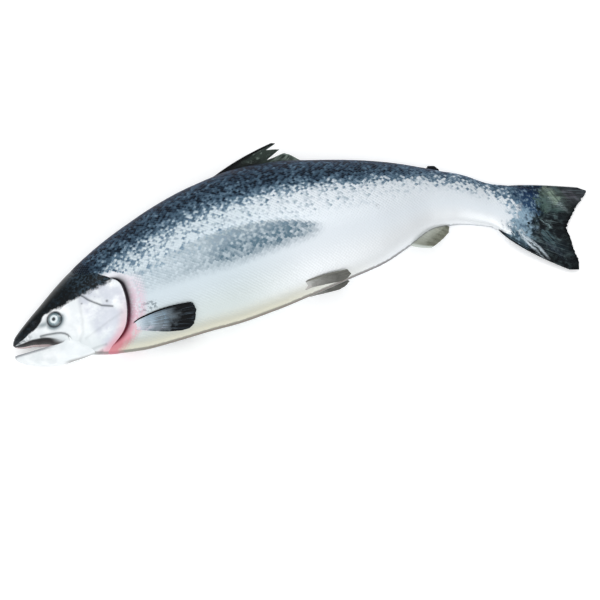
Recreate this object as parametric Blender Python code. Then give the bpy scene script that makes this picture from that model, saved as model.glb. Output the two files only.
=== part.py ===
"""Whole salmon lying on its right side, for the kitchen table or the fish counter.

The fish is one solid: trunk, head with a slightly open mouth, and all its fins. Only the two
eyeballs are solids of their own, each seated in its socket. Lengths are metres, +Z is up, -X is
toward the snout and +Y is toward the back of the fish. The fish is bowed, back outward, as a
whole salmon lies when it comes off the ice.
"""
import bisect
import math

import bmesh
import bpy
from mathutils import Vector

# Driving sizes of the fish.
# Plan position of the body axis from the snout tip to the fork of the tail: (x, y)
AXIS = ((0.0, 0.0), (0.04, 0.0105), (0.10, 0.030), (0.18, 0.049), (0.27, 0.0625), (0.36, 0.0685),
        (0.45, 0.0705), (0.52, 0.0715), (0.575, 0.0695), (0.62, 0.059), (0.66, 0.043), (0.72, 0.013))
# Sections along the axis: (x, axis to back, axis to belly, half thickness, axis height)
SECTIONS = ((0.0, 0.0035, 0.0030, 0.0040, 0.0265),
            (0.004, 0.0078, 0.0052, 0.0085, 0.0265),
            (0.010, 0.0115, 0.0076, 0.0120, 0.0270),
            (0.020, 0.0168, 0.0105, 0.0160, 0.0280),
            (0.035, 0.0240, 0.0175, 0.0200, 0.0295),
            (0.055, 0.0322, 0.0390, 0.0245, 0.0315),
            (0.080, 0.0420, 0.0630, 0.0300, 0.0340),
            (0.110, 0.0532, 0.0768, 0.0355, 0.0365),
            (0.145, 0.0648, 0.0880, 0.0395, 0.0380),
            (0.180, 0.0748, 0.0932, 0.0420, 0.0395),
            (0.220, 0.0850, 0.0970, 0.0440, 0.0410),
            (0.270, 0.0945, 0.1005, 0.0460, 0.0425),
            (0.320, 0.1000, 0.0975, 0.0465, 0.0430),
            (0.370, 0.0970, 0.0900, 0.0455, 0.0420),
            (0.420, 0.0880, 0.0795, 0.0430, 0.0398),
            (0.470, 0.0780, 0.0675, 0.0385, 0.0355),
            (0.510, 0.0675, 0.0500, 0.0330, 0.0305),
            (0.550, 0.0540, 0.0310, 0.0265, 0.0245),
            (0.590, 0.0412, 0.0272, 0.0200, 0.0190),
            (0.625, 0.0328, 0.0262, 0.0140, 0.0140),
            (0.655, 0.0362, 0.0340, 0.0088, 0.0110),
            (0.668, 0.0375, 0.0360, 0.0050, 0.0095),
            (0.682, 0.0370, 0.0350, 0.0016, 0.0080))
BODY_END = 0.682
# Fullness of the section toward its back edge and its belly edge, where 1 is a plain ellipse
BACK_FULLNESS = ((0.0, 1.0), (0.10, 1.05), (0.30, 1.0), (BODY_END, 0.92))
BELLY_FULLNESS = ((0.0, 1.05), (0.040, 1.10), (0.060, 1.22), (0.090, 1.18), (0.125, 1.05), (0.20, 0.88),
                  (0.45, 0.85), (0.56, 0.95), (BODY_END, 0.92))
# Power on the sine of the girth angle below mid height; less than 1 squares the jaws and cheeks
BELLY_SQUARENESS = ((0.0, 0.65), (0.03, 0.55), (0.055, 0.65), (0.075, 0.85), (0.10, 1.0), (BODY_END, 1.0))
SNOUT_CAP = 0.0018          # how far the rounded snout tip stands ahead of the first section
GIRTH_POINTS = 52           # points round one section

# Gill cover: its free edge as a line of stations, farthest back a little above mid height
GILL_X = 0.1416
GILL_TOP = 0.25             # cosine of the girth angle where the gill slit ends
GILL_UPPER_SWEEP = 0.021
GILL_LOWER_SWEEP = 0.037
GILL_FADE = 0.04            # cosine span over which the slit fades out at its upper end
THROAT_FADE = 0.20          # cosine span over which it fades out under the throat
THROAT_FROM = 0.6
THROAT_SWEEP = 0.09
GILL_REACH = 0.12           # length of trunk over which the sections straighten again
# Height of the skin across the edge of the gill cover: (distance behind the edge, height)
GILL_PROFILE = ((-0.030, 0.0), (-0.004, 0.0013), (-0.001, 0.0014), (0.0, 0.0006), (0.0006, -0.0032),
                (0.0025, -0.0042), (0.0045, -0.0030), (0.008, -0.0014), (0.030, 0.0))
RINGS_AHEAD = (0.0, 0.0015, 0.004, 0.0075, 0.012, 0.017, 0.023, 0.029, 0.036, 0.043, 0.050, 0.057, 0.065,
               0.074, 0.084, 0.094, 0.104, 0.114, 0.123, 0.131, 0.137, 0.1404)
RINGS_BEHIND = (0.0, 0.0006, 0.0025, 0.0045, 0.008, 0.013, 0.020, 0.029)
RING_PITCH = 0.0145

# Belly slit of the cleaned fish, closed, from the throat to the vent
SLIT_SPAN = (0.12, 0.17, 0.47, 0.505)
SLIT_DEPTH = 0.0022
SLIT_HALF_ANGLE = 0.035

# Lower jaw: (x, lip line y, keel y, half width)
JAW = ((-0.001, -0.0162, -0.0195, 0.0045), (0.003, -0.0166, -0.0230, 0.0080),
       (0.009, -0.0173, -0.0266, 0.0104), (0.018, -0.0180, -0.0305, 0.0130),
       (0.030, -0.0184, -0.0342, 0.0154), (0.042, -0.0188, -0.0370, 0.0170),
       (0.052, -0.0190, -0.0384, 0.0178), (0.060, -0.0178, -0.0384, 0.0180),
       (0.070, -0.0160, -0.0378, 0.0176), (0.080, -0.0165, -0.0370, 0.0165),
       (0.090, -0.0195, -0.0358, 0.0138), (0.098, -0.0240, -0.0342, 0.0095))
JAW_RINGS = 15
JAW_OUTER_POINTS = 12
JAW_INNER_POINTS = 8
LIP_THICKNESS = 0.0032
LIP_SHARE = 0.45            # most of the jaw's half width that one lip may take
LIP_ROUNDING = 0.25         # drop of the inner lip edge as a part of the lip's thickness
FLOOR_DEPTH = 0.30          # depth of the mouth floor as a part of the jaw's own depth
KEEL_POWER = 0.85           # below 1 fills out the keel, and the next the sides, of a plain ellipse
SIDE_POWER = 0.9
RING_BUNCHING = 1.5         # gathers the jaw's rings toward its tip
JAW_CAP = 0.0006            # how far each end of the jaw stands beyond its last ring
TONGUE_CENTRE = (0.034, -0.0215)
TONGUE_SIZE = (0.021, 0.0042, 0.0095)

EYE_STATION = 0.0545
EYE_COSINE = -0.02
EYE_RADIUS = 0.0118
EYE_HALF_DEPTH = 0.0085
EYE_SEAT = 0.0055           # eye centre below the skin
GAP = 0.0003                # clearance between an eyeball and its socket

# Height of the fin plane behind the body: (x, z)
TAIL_HEIGHT = ((0.60, 0.0175), (0.655, 0.0110), (0.668, 0.0095), (0.682, 0.0080), (0.73, 0.0046),
               (0.76, 0.0040))
# Fins in the plane of the body: base line, tips (share of base, x, y), bulge of first and last ray
DORSAL_FIN = {"base": ((0.262, 0.149), (0.402, 0.152)),
              "tips": ((0.0, 0.3690, 0.1957), (0.05, 0.3732, 0.1952), (0.10, 0.3738, 0.1936),
                       (0.20, 0.3603, 0.1872), (0.30, 0.3790, 0.1853), (0.35, 0.3667, 0.1780),
                       (0.40, 0.3580, 0.1731), (0.45, 0.3690, 0.1751),
                       (0.55, 0.3805, 0.1783), (0.60, 0.3837, 0.1779), (0.75, 0.3900, 0.1738),
                       (0.90, 0.3990, 0.1652), (1.0, 0.4060, 0.1600)),
              "bulges": ((-0.004, 0.010), (0.0, 0.0)), "columns": 20, "steps": 5, "roots": (0.0022, 0.0007)}
ADIPOSE_FIN = {"base": ((0.551, 0.117), (0.566, 0.112)),
               "tips": ((0.0, 0.5605, 0.1285), (0.5, 0.5690, 0.1272), (1.0, 0.5740, 0.1205)),
               "bulges": ((0.0, 0.0), (0.0, 0.0)), "columns": 6, "steps": 4, "roots": (0.0022, 0.0009)}
ANAL_FIN = {"base": ((0.503, 0.028), (0.555, 0.049)),
            "tips": ((0.0, 0.5371, 0.0142), (0.25, 0.5460, 0.0185), (0.5, 0.5545, 0.0240),
                     (0.75, 0.5636, 0.0309), (1.0, 0.5665, 0.0390)),
            "bulges": ((-0.004, -0.006), (0.0, 0.0)), "columns": 14, "steps": 5, "roots": (0.0022, 0.0007)}
TAIL_FIN = {"base": ((0.628, 0.0800), (0.628, 0.026)),
            "tips": ((0.0, 0.7465, 0.0637), (0.036, 0.7561, 0.0575), (0.08, 0.7514, 0.0502),
                     (0.25, 0.7354, 0.0364), (0.43, 0.7208, 0.0179), (0.50, 0.7164, 0.0117),
                     (0.58, 0.7175, 0.0014), (0.80, 0.7186, -0.0274), (0.91, 0.7197, -0.0385),
                     (0.964, 0.7166, -0.0483), (1.0, 0.7050, -0.0462)),
            "bulges": ((-0.0204, 0.0185), (-0.0165, -0.0010)), "columns": 28, "steps": 7,
            "roots": (0.0030, 0.0007)}
# Paired fins folded back along the flank: hinge ends, tips, skin clearance at the tip
PECTORAL_FIN = {"base": ((0.1464, -0.0192), (0.1484, -0.0240)),
                "tips": ((0.0, 0.2235, -0.0112), (0.08, 0.2268, -0.0128), (0.25, 0.2290, -0.0200),
                         (0.45, 0.2262, -0.0285), (0.62, 0.2225, -0.0340), (0.80, 0.2165, -0.0385),
                         (1.0, 0.2080, -0.0392)),
                "bulges": ((-0.004, 0.0075), (-0.010, -0.0035)), "columns": 12, "steps": 6, "roots": (0.0019, 0.0006),
                "clearance": 0.0055, "lower_fold": 0.007}
PELVIC_FIN = {"base": ((0.362, -0.0105), (0.366, -0.0175)),
              "tips": ((0.0, 0.4220, -0.0040), (0.4, 0.4260, -0.0110), (0.7, 0.4200, -0.0160),
                       (1.0, 0.4120, -0.0190)),
              "bulges": ((0.0, 0.002), (0.0, 0.0)), "columns": 10, "steps": 5, "roots": (0.0018, 0.0006),
              "clearance": 0.0050, "lower_fold": 0.006}
RAY_BEND = 0.4              # place along a ray of the point that bends it
FIN_TAPER = 1.4             # power of the fall in thickness from root to edge
FIN_RIDGE = 0.00035         # height of a fin ray over the web beside it
RIDGE_LOSS = 0.5            # part of that height lost at the outer edge
ROOT_SPAN = 0.2             # share of a ray over which a paired fin comes out of the flank
LIFT_SPAN = 0.9             # share of a ray over which it rises to its full clearance
FIN_ROOT_SINK = 0.0035      # how deep a paired fin is rooted in the flank
FLANK_LIMIT = 0.92          # farthest section cosine a paired fin follows round the body
TABLE_CLEARANCE = 0.0012    # lowest height of the middle of a fin

DIFFERENCE_STEP = 0.001     # step in metres for slopes along the body
ANGLE_STEP = 0.02           # step in radians for slopes round a section
SKIN_COLOUR = (0.62, 0.68, 0.72)
SKIN_ROUGHNESS = 0.32
EYE_COLOUR = (0.75, 0.78, 0.76)
EYE_ROUGHNESS = 0.12


def smooth_curve(points):
    """Curve through the points that never overshoots between two of them."""
    xs = [point[0] for point in points]
    ys = [point[1] for point in points]
    count = len(xs)
    widths = [xs[i + 1] - xs[i] for i in range(count - 1)]
    rates = [(ys[i + 1] - ys[i]) / widths[i] for i in range(count - 1)]
    slopes = [rates[0]] + [0.0] * (count - 2) + [rates[-1]]
    for i in range(1, count - 1):
        if rates[i - 1] * rates[i] > 0.0:
            before = 2.0 * widths[i] + widths[i - 1]
            after = widths[i] + 2.0 * widths[i - 1]
            slopes[i] = (before + after) / (before / rates[i - 1] + after / rates[i])

    def value(x):
        if x <= xs[0]:
            return ys[0] + slopes[0] * (x - xs[0])
        if x >= xs[-1]:
            return ys[-1] + slopes[-1] * (x - xs[-1])
        i = bisect.bisect_right(xs, x) - 1
        t = (x - xs[i]) / widths[i]
        start = ys[i] * (1.0 + 2.0 * t) * (1.0 - t) ** 2 + slopes[i] * widths[i] * t * (1.0 - t) ** 2
        end = ys[i + 1] * t * t * (3.0 - 2.0 * t) + slopes[i + 1] * widths[i] * t * t * (t - 1.0)
        return start + end

    return value


def straight_curve(points):
    """Curve of straight pieces through the points, level beyond its ends."""
    xs = [point[0] for point in points]
    ys = [point[1] for point in points]

    def value(x):
        if x <= xs[0]:
            return ys[0]
        if x >= xs[-1]:
            return ys[-1]
        i = bisect.bisect_right(xs, x) - 1
        t = (x - xs[i]) / (xs[i + 1] - xs[i])
        return ys[i] + (ys[i + 1] - ys[i]) * t

    return value


def ease(t):
    """Smooth step from 0 to 1."""
    t = min(max(t, 0.0), 1.0)
    return t * t * (3.0 - 2.0 * t)


axis_line = smooth_curve(AXIS)
to_back = smooth_curve([(row[0], row[1]) for row in SECTIONS])
to_belly = smooth_curve([(row[0], row[2]) for row in SECTIONS])
half_thickness = smooth_curve([(row[0], row[3]) for row in SECTIONS])
axis_height = smooth_curve([(row[0], row[4]) for row in SECTIONS])
back_fullness = smooth_curve(BACK_FULLNESS)
belly_fullness = smooth_curve(BELLY_FULLNESS)
belly_squareness = smooth_curve(BELLY_SQUARENESS)
gill_profile = straight_curve(GILL_PROFILE)
tail_height = smooth_curve(TAIL_HEIGHT)


def back_direction(x):
    """Unit vector in the table plane from the axis toward the back."""
    rise = axis_line(x + DIFFERENCE_STEP) - axis_line(x - DIFFERENCE_STEP)
    along = Vector((2.0 * DIFFERENCE_STEP, rise, 0.0)).normalized()
    return Vector((-along.y, along.x, 0.0))


def gill_station(cosine):
    """Station of the gill cover's free edge at one height of the section."""
    if cosine > 0.0:
        return GILL_X - GILL_UPPER_SWEEP * ease(0.5 * cosine / GILL_TOP)
    throat = max(-cosine - THROAT_FROM, 0.0)
    return GILL_X - GILL_LOWER_SWEEP * cosine ** 2 - THROAT_SWEEP * throat ** 2


def ring_station(distance, cosine):
    """Station where a ring, counted from the gill edge, crosses one height of the section."""
    shift = gill_station(cosine) - GILL_X
    if distance < 0.0:
        return GILL_X + distance + shift * (1.0 + distance / GILL_X)
    return GILL_X + distance + shift * (1.0 - ease(distance / GILL_REACH))


def skin_relief(x, angle):
    """Height of the skin over the plain section at the gill slit and the belly slit."""
    cosine = math.cos(angle)
    shown = ease((GILL_TOP + GILL_FADE - cosine) / (4.0 * GILL_FADE)) * ease((cosine + 1.0) / THROAT_FADE)
    gill = gill_profile(x - gill_station(cosine)) * shown
    start, full, fading, end = SLIT_SPAN
    along = min(ease((x - start) / (full - start)), ease((end - x) / (end - fading)))
    across = max(0.0, 1.0 - abs(abs(angle) - math.pi) / SLIT_HALF_ANGLE)
    return gill - SLIT_DEPTH * along * across


def thickness_share(x, cosine):
    """Half thickness of a section at one height, as a share of its greatest half thickness."""
    sine = math.sqrt(max(1.0 - cosine * cosine, 0.0))
    if cosine > 0.0:
        return sine * (1.0 + (back_fullness(x) - 1.0) * cosine * cosine)
    return sine ** belly_squareness(x) * (1.0 + (belly_fullness(x) - 1.0) * cosine * cosine)


def skin_point(x, angle):
    """Point of the skin; angle 0 is the back edge, a quarter turn is the upper flank."""
    cosine = math.cos(angle)
    sine = math.sin(angle)
    depth = 0.5 * (to_back(x) + to_belly(x))
    middle = 0.5 * (to_back(x) - to_belly(x))
    half = half_thickness(x)
    across = half * math.copysign(thickness_share(x, cosine), sine)
    outward = Vector((cosine / depth, sine / half)).normalized()
    relief = skin_relief(x, angle)
    v = middle + depth * cosine + relief * outward.x
    w = across + relief * outward.y
    place = Vector((x, axis_line(x), 0.0)) + back_direction(x) * v
    return Vector((place.x, place.y, max(axis_height(x) + w, 0.0)))


def girth_angles():
    """Angles round a section, with the belly slit's own two lines beside the belly edge."""
    angles = [2.0 * math.pi * i / GIRTH_POINTS for i in range(GIRTH_POINTS)]
    angles += [math.pi - SLIT_HALF_ANGLE, math.pi + SLIT_HALF_ANGLE]
    return [a if a <= math.pi else a - 2.0 * math.pi for a in sorted(angles)]


def ring_distances():
    """Distances of all rings from the gill edge, snout first."""
    ahead = [x - GILL_X for x in RINGS_AHEAD]
    rest = BODY_END - GILL_X - RINGS_BEHIND[-1]
    count = round(rest / RING_PITCH)
    behind = [RINGS_BEHIND[-1] + rest * (i + 1) / count for i in range(count)]
    return ahead + list(RINGS_BEHIND) + behind


def mesh_object(name, points, faces):
    """Object of its own mesh, faces turned outward."""
    mesh = bpy.data.meshes.new(name)
    mesh.from_pydata([tuple(p) for p in points], [], faces)
    work = bmesh.new()
    work.from_mesh(mesh)
    bmesh.ops.recalc_face_normals(work, faces=work.faces)
    work.to_mesh(mesh)
    work.free()
    obj = bpy.data.objects.new(name, mesh)
    bpy.context.scene.collection.objects.link(obj)
    return obj


def closed_tube(name, rings, start_point, end_point):
    """Solid skinned over closed rings of equal count, each end drawn to one point."""
    count = len(rings[0])
    points = [p for ring in rings for p in ring]
    faces = []
    for r in range(len(rings) - 1):
        for c in range(count):
            n = (c + 1) % count
            faces.append((r * count + c, r * count + n, (r + 1) * count + n, (r + 1) * count + c))
    points += [start_point, end_point]
    first = len(points) - 2
    last = (len(rings) - 1) * count
    for c in range(count):
        n = (c + 1) % count
        faces.append((first, n, c))
        faces.append((first + 1, last + c, last + n))
    return mesh_object(name, points, faces)


def body_solid():
    """Trunk and head skinned over sections that follow the gill cover's edge."""
    angles = girth_angles()
    rings = []
    for distance in ring_distances():
        rings.append([skin_point(ring_station(distance, math.cos(a)), a) for a in angles])
    snout = Vector((-SNOUT_CAP, axis_line(0.0), axis_height(0.0)))
    tail = Vector((BODY_END + SNOUT_CAP, axis_line(BODY_END), axis_height(BODY_END)))
    return closed_tube("salmon", rings, snout, tail)


def jaw_solid():
    """Lower jaw: a keel-shaped trough with rounded lips, rooted in the throat."""
    lip_line = smooth_curve([(row[0], row[1]) for row in JAW])
    keel_line = smooth_curve([(row[0], row[2]) for row in JAW])
    width_line = smooth_curve([(row[0], row[3]) for row in JAW])
    first = JAW[0][0]
    span = JAW[-1][0] - first
    rings = []
    for i in range(JAW_RINGS):
        share = i / (JAW_RINGS - 1)
        x = first + span * share ** RING_BUNCHING
        lip = lip_line(x)
        depth = lip - keel_line(x)
        width = width_line(x)
        thick = min(LIP_THICKNESS, LIP_SHARE * width)
        ring = []
        for j in range(JAW_OUTER_POINTS):
            angle = math.pi * j / (JAW_OUTER_POINTS - 1)
            down = max(math.sin(angle), 0.0) ** KEEL_POWER
            side = math.copysign(abs(math.cos(angle)) ** SIDE_POWER, math.cos(angle))
            ring.append(Vector((x, lip - depth * down, axis_height(x) + width * side)))
        for j in range(JAW_INNER_POINTS):
            angle = math.pi * (j + 0.5) / JAW_INNER_POINTS
            down = thick * LIP_ROUNDING + FLOOR_DEPTH * depth * math.sin(angle)
            side = -(width - thick) * math.cos(angle)
            ring.append(Vector((x, lip - down, axis_height(x) + side)))
        rings.append(ring)
    centres = [sum(ring, Vector()) / len(ring) for ring in (rings[0], rings[-1])]
    centres[0].x -= JAW_CAP
    centres[1].x += JAW_CAP
    return closed_tube("lower_jaw", rings, centres[0], centres[1])


def ellipsoid(name, centre, axes, sizes, around, along):
    """Closed ellipsoid with half sizes along three given axes; poles on the last axis."""
    rings = []
    for i in range(1, along):
        polar = math.pi * i / along
        ring = []
        for j in range(around):
            turn = 2.0 * math.pi * j / around
            local = (sizes[0] * math.sin(polar) * math.cos(turn), sizes[1] * math.sin(polar) * math.sin(turn),
                     sizes[2] * math.cos(polar))
            ring.append(centre + axes[0] * local[0] + axes[1] * local[1] + axes[2] * local[2])
        rings.append(ring)
    return closed_tube(name, rings, centre + axes[2] * sizes[2], centre - axes[2] * sizes[2])


def tongue_solid():
    """Tongue lying along the floor of the mouth."""
    x, y = TONGUE_CENTRE
    axes = (Vector((0.0, 1.0, 0.0)), Vector((0.0, 0.0, 1.0)), Vector((1.0, 0.0, 0.0)))
    sizes = (TONGUE_SIZE[1], TONGUE_SIZE[2], TONGUE_SIZE[0])
    return ellipsoid("tongue", Vector((x, y, axis_height(x))), axes, sizes, 12, 8)


def eye_frame(side):
    """Place of an eyeball's centre and its three axes; side is 1 for the upper eye, -1 below."""
    angle = side * math.acos(EYE_COSINE)
    here = skin_point(EYE_STATION, angle)
    ahead = skin_point(EYE_STATION + DIFFERENCE_STEP, angle) - here
    round_way = skin_point(EYE_STATION, angle + side * ANGLE_STEP) - here
    outward = ahead.cross(round_way).normalized()
    if outward.z * side < 0.0:
        outward = -outward
    first = ahead.normalized()
    second = outward.cross(first).normalized()
    return here - outward * EYE_SEAT, (first, second, outward)


def eyeball(name, side, extra):
    """Flattened eyeball, or its socket when extra clearance is given."""
    centre, axes = eye_frame(side)
    sizes = (EYE_RADIUS + extra, EYE_RADIUS + extra, EYE_HALF_DEPTH + extra)
    return ellipsoid(name, centre, axes, sizes, 20, 10)


def plate(name, columns, steps, point, half_height):
    """Thin closed solid over a middle surface point(f, t), both shares running 0 to 1."""
    grid = [[point(i / columns, j / steps) for j in range(steps + 1)] for i in range(columns + 1)]
    upper = []
    lower = []
    for i in range(columns + 1):
        for j in range(steps + 1):
            across = grid[min(i + 1, columns)][j] - grid[max(i - 1, 0)][j]
            along = grid[i][min(j + 1, steps)] - grid[i][max(j - 1, 0)]
            normal = along.cross(across).normalized()
            half = half_height(i, j / steps)
            upper.append(grid[i][j] + normal * half)
            lower.append(grid[i][j] - normal * half)
    row = steps + 1
    total = len(upper)
    faces = []
    for i in range(columns):
        for j in range(steps):
            a = i * row + j
            quad = (a, a + 1, a + row + 1, a + row)
            faces.append(quad)
            faces.append(tuple(total + k for k in reversed(quad)))
    edge = [i * row for i in range(columns + 1)]
    edge += [columns * row + j for j in range(1, steps + 1)]
    edge += [i * row + steps for i in range(columns - 1, -1, -1)]
    edge += [j for j in range(steps - 1, 0, -1)]
    for k, a in enumerate(edge):
        b = edge[(k + 1) % len(edge)]
        faces.append((a, b, total + b, total + a))
    return mesh_object(name, upper + lower, faces)


def fin_plan(fin, f, t):
    """Plan position on a fin: f runs along its base, t out along a ray."""
    (ax, ay), (bx, by) = fin["base"]
    tip_x = straight_curve([(tip[0], tip[1]) for tip in fin["tips"]])(f)
    tip_y = straight_curve([(tip[0], tip[2]) for tip in fin["tips"]])(f)
    base_x = ax + (bx - ax) * f
    base_y = ay + (by - ay) * f
    (first_x, first_y), (last_x, last_y) = fin["bulges"]
    bend_x = base_x + (tip_x - base_x) * RAY_BEND + first_x * (1.0 - f) ** 4 + last_x * f ** 4
    bend_y = base_y + (tip_y - base_y) * RAY_BEND + first_y * (1.0 - f) ** 4 + last_y * f ** 4
    x = base_x * (1.0 - t) ** 2 + 2.0 * bend_x * t * (1.0 - t) + tip_x * t * t
    y = base_y * (1.0 - t) ** 2 + 2.0 * bend_y * t * (1.0 - t) + tip_y * t * t
    return x, y


def fin_half_height(fin):
    """Half thickness of a fin: thick root, thin edge, a ridge on every second column."""
    root, edge = fin["roots"]

    def value(column, t):
        ridge = FIN_RIDGE if column % 2 == 0 else 0.0
        return edge + (root - edge) * (1.0 - t) ** FIN_TAPER + ridge * (1.0 - RIDGE_LOSS * t)

    return value


def plane_fin(name, fin):
    """Fin standing in the plane of the body."""

    def point(f, t):
        x, y = fin_plan(fin, f, t)
        height = tail_height(x) if x > TAIL_HEIGHT[1][0] else axis_height(x)
        return Vector((x, y, height))

    return plate(name, fin["columns"], fin["steps"], point, fin_half_height(fin))


def flank_height(x, y, side):
    """Height of the flank over or under a plan position, levelled off toward the belly edge."""
    station = x
    for _ in range(4):
        back = back_direction(station)
        ahead = (x - station) * back.y - (y - axis_line(station)) * back.x
        station += ahead * back.y
    back = back_direction(station)
    v = (x - station) * back.x + (y - axis_line(station)) * back.y
    depth = 0.5 * (to_back(station) + to_belly(station))
    middle = 0.5 * (to_back(station) - to_belly(station))
    cosine = min(max((v - middle) / depth, -FLANK_LIMIT), FLANK_LIMIT)
    return axis_height(station) + side * half_thickness(station) * thickness_share(station, cosine)


def flank_fin(name, fin, side):
    """Paired fin folded back close over the flank; side is 1 above, -1 below."""

    def point(f, t):
        x, y = fin_plan(fin, f, t)
        if side < 0.0:
            y += fin["lower_fold"] * t
        lift = -FIN_ROOT_SINK * (1.0 - ease(t / ROOT_SPAN)) + fin["clearance"] * ease(t / LIFT_SPAN)
        height = flank_height(x, y, side) + side * lift
        return Vector((x, y, max(height, TABLE_CLEARANCE)))

    return plate(name, fin["columns"], fin["steps"], point, fin_half_height(fin))


def combine(target, name, tools, operation):
    """One Boolean of the target with a whole group of solids, kept in the target's mesh."""
    group = bpy.data.collections.new(name)
    for tool in tools:
        group.objects.link(tool)
    modifier = target.modifiers.new(name, "BOOLEAN")
    modifier.operation = operation
    modifier.operand_type = "COLLECTION"
    modifier.collection = group
    modifier.solver = "EXACT"
    bpy.context.view_layer.update()
    shape = target.evaluated_get(bpy.context.evaluated_depsgraph_get())
    result = bpy.data.meshes.new_from_object(shape)
    target.modifiers.clear()
    old = target.data
    target.data = result
    bpy.data.meshes.remove(old)
    for tool in tools:
        bpy.data.objects.remove(tool)
    bpy.data.collections.remove(group)


def finish_look(obj, name, colour, roughness):
    """Material of a solid and smooth shading of its round faces."""
    material = bpy.data.materials.new(name)
    material.use_nodes = True
    shader = material.node_tree.nodes["Principled BSDF"]
    shader.inputs["Base Color"].default_value = (*colour, 1.0)
    shader.inputs["Roughness"].default_value = roughness
    obj.data.materials.clear()
    obj.data.materials.append(material)
    for face in obj.data.polygons:
        face.use_smooth = True
        face.material_index = 0


def centre_over_origin(objects):
    """Moves the meshes so that the middle of the underside of the whole box is the origin."""
    corners = [v.co for obj in objects for v in obj.data.vertices]
    middle_x = 0.5 * (min(c.x for c in corners) + max(c.x for c in corners))
    middle_y = 0.5 * (min(c.y for c in corners) + max(c.y for c in corners))
    for obj in objects:
        for vertex in obj.data.vertices:
            vertex.co.x -= middle_x
            vertex.co.y -= middle_y
        obj.data.update()
    return middle_x, middle_y


def build():
    """The whole salmon."""
    for obj in list(bpy.data.objects):
        bpy.data.objects.remove(obj)
    salmon = body_solid()
    additions = [jaw_solid(), tongue_solid(), plane_fin("dorsal_fin", DORSAL_FIN),
                 plane_fin("adipose_fin", ADIPOSE_FIN), plane_fin("anal_fin", ANAL_FIN),
                 plane_fin("tail_fin", TAIL_FIN), flank_fin("pectoral_fin_left", PECTORAL_FIN, 1.0),
                 flank_fin("pectoral_fin_right", PECTORAL_FIN, -1.0),
                 flank_fin("pelvic_fin_left", PELVIC_FIN, 1.0),
                 flank_fin("pelvic_fin_right", PELVIC_FIN, -1.0)]
    combine(salmon, "additions", additions, "UNION")
    sockets = [eyeball("socket_left", 1.0, GAP), eyeball("socket_right", -1.0, GAP)]
    combine(salmon, "sockets", sockets, "DIFFERENCE")
    eye_left = eyeball("eye_left", 1.0, 0.0)
    eye_right = eyeball("eye_right", -1.0, 0.0)
    finish_look(salmon, "salmon_skin", SKIN_COLOUR, SKIN_ROUGHNESS)
    finish_look(eye_left, "eye_surface_left", EYE_COLOUR, EYE_ROUGHNESS)
    finish_look(eye_right, "eye_surface_right", EYE_COLOUR, EYE_ROUGHNESS)
    shift = centre_over_origin([salmon, eye_left, eye_right])
    print("plan shift", shift)


build()
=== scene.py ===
# %% [markdown]
# # A whole salmon, scale by scale
# This lesson dresses a solid model of a whole raw salmon. The solid has the true size and shape, so
# every piece below is made around it, in metres, with the snout toward -X, the back toward +Y and
# the shown left flank up. The first step loads that solid as a fixed frame and keeps its box.

# %% Load the solid as the frame
import math
from functools import partial

import bmesh
import bpy
import numpy as np
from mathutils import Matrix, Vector
from mathutils.bvhtree import BVHTree


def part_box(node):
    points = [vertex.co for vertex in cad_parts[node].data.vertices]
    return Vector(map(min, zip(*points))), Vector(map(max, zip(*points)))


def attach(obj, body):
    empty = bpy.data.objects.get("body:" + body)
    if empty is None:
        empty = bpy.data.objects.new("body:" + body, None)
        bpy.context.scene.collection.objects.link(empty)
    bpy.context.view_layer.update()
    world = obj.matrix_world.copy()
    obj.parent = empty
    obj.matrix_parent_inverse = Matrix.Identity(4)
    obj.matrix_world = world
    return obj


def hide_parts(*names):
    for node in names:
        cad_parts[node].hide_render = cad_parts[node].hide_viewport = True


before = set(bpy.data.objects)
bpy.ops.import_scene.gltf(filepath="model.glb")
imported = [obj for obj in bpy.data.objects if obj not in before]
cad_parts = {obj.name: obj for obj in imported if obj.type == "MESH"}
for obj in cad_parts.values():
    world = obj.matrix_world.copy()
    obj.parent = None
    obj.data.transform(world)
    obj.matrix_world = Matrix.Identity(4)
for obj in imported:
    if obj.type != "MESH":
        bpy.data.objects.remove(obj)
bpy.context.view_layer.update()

# %% [markdown]
# ## The sections of the body
# A fish is a stack of rounded sections along a bowed axis. The same few driving sizes that shape the
# solid shape the skin here, only with far more sections, so the two agree everywhere. A curve that
# never overshoots joins the sizes: a plain spline would put waves between them.

# %% Driving sizes of the body
AXIS = ((0.0, 0.0), (0.04, 0.0105), (0.1, 0.03), (0.18, 0.049), (0.27, 0.0625), (0.36, 0.0685),
        (0.45, 0.0705), (0.52, 0.0715), (0.575, 0.0695), (0.62, 0.059), (0.66, 0.043), (0.72, 0.013))
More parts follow.
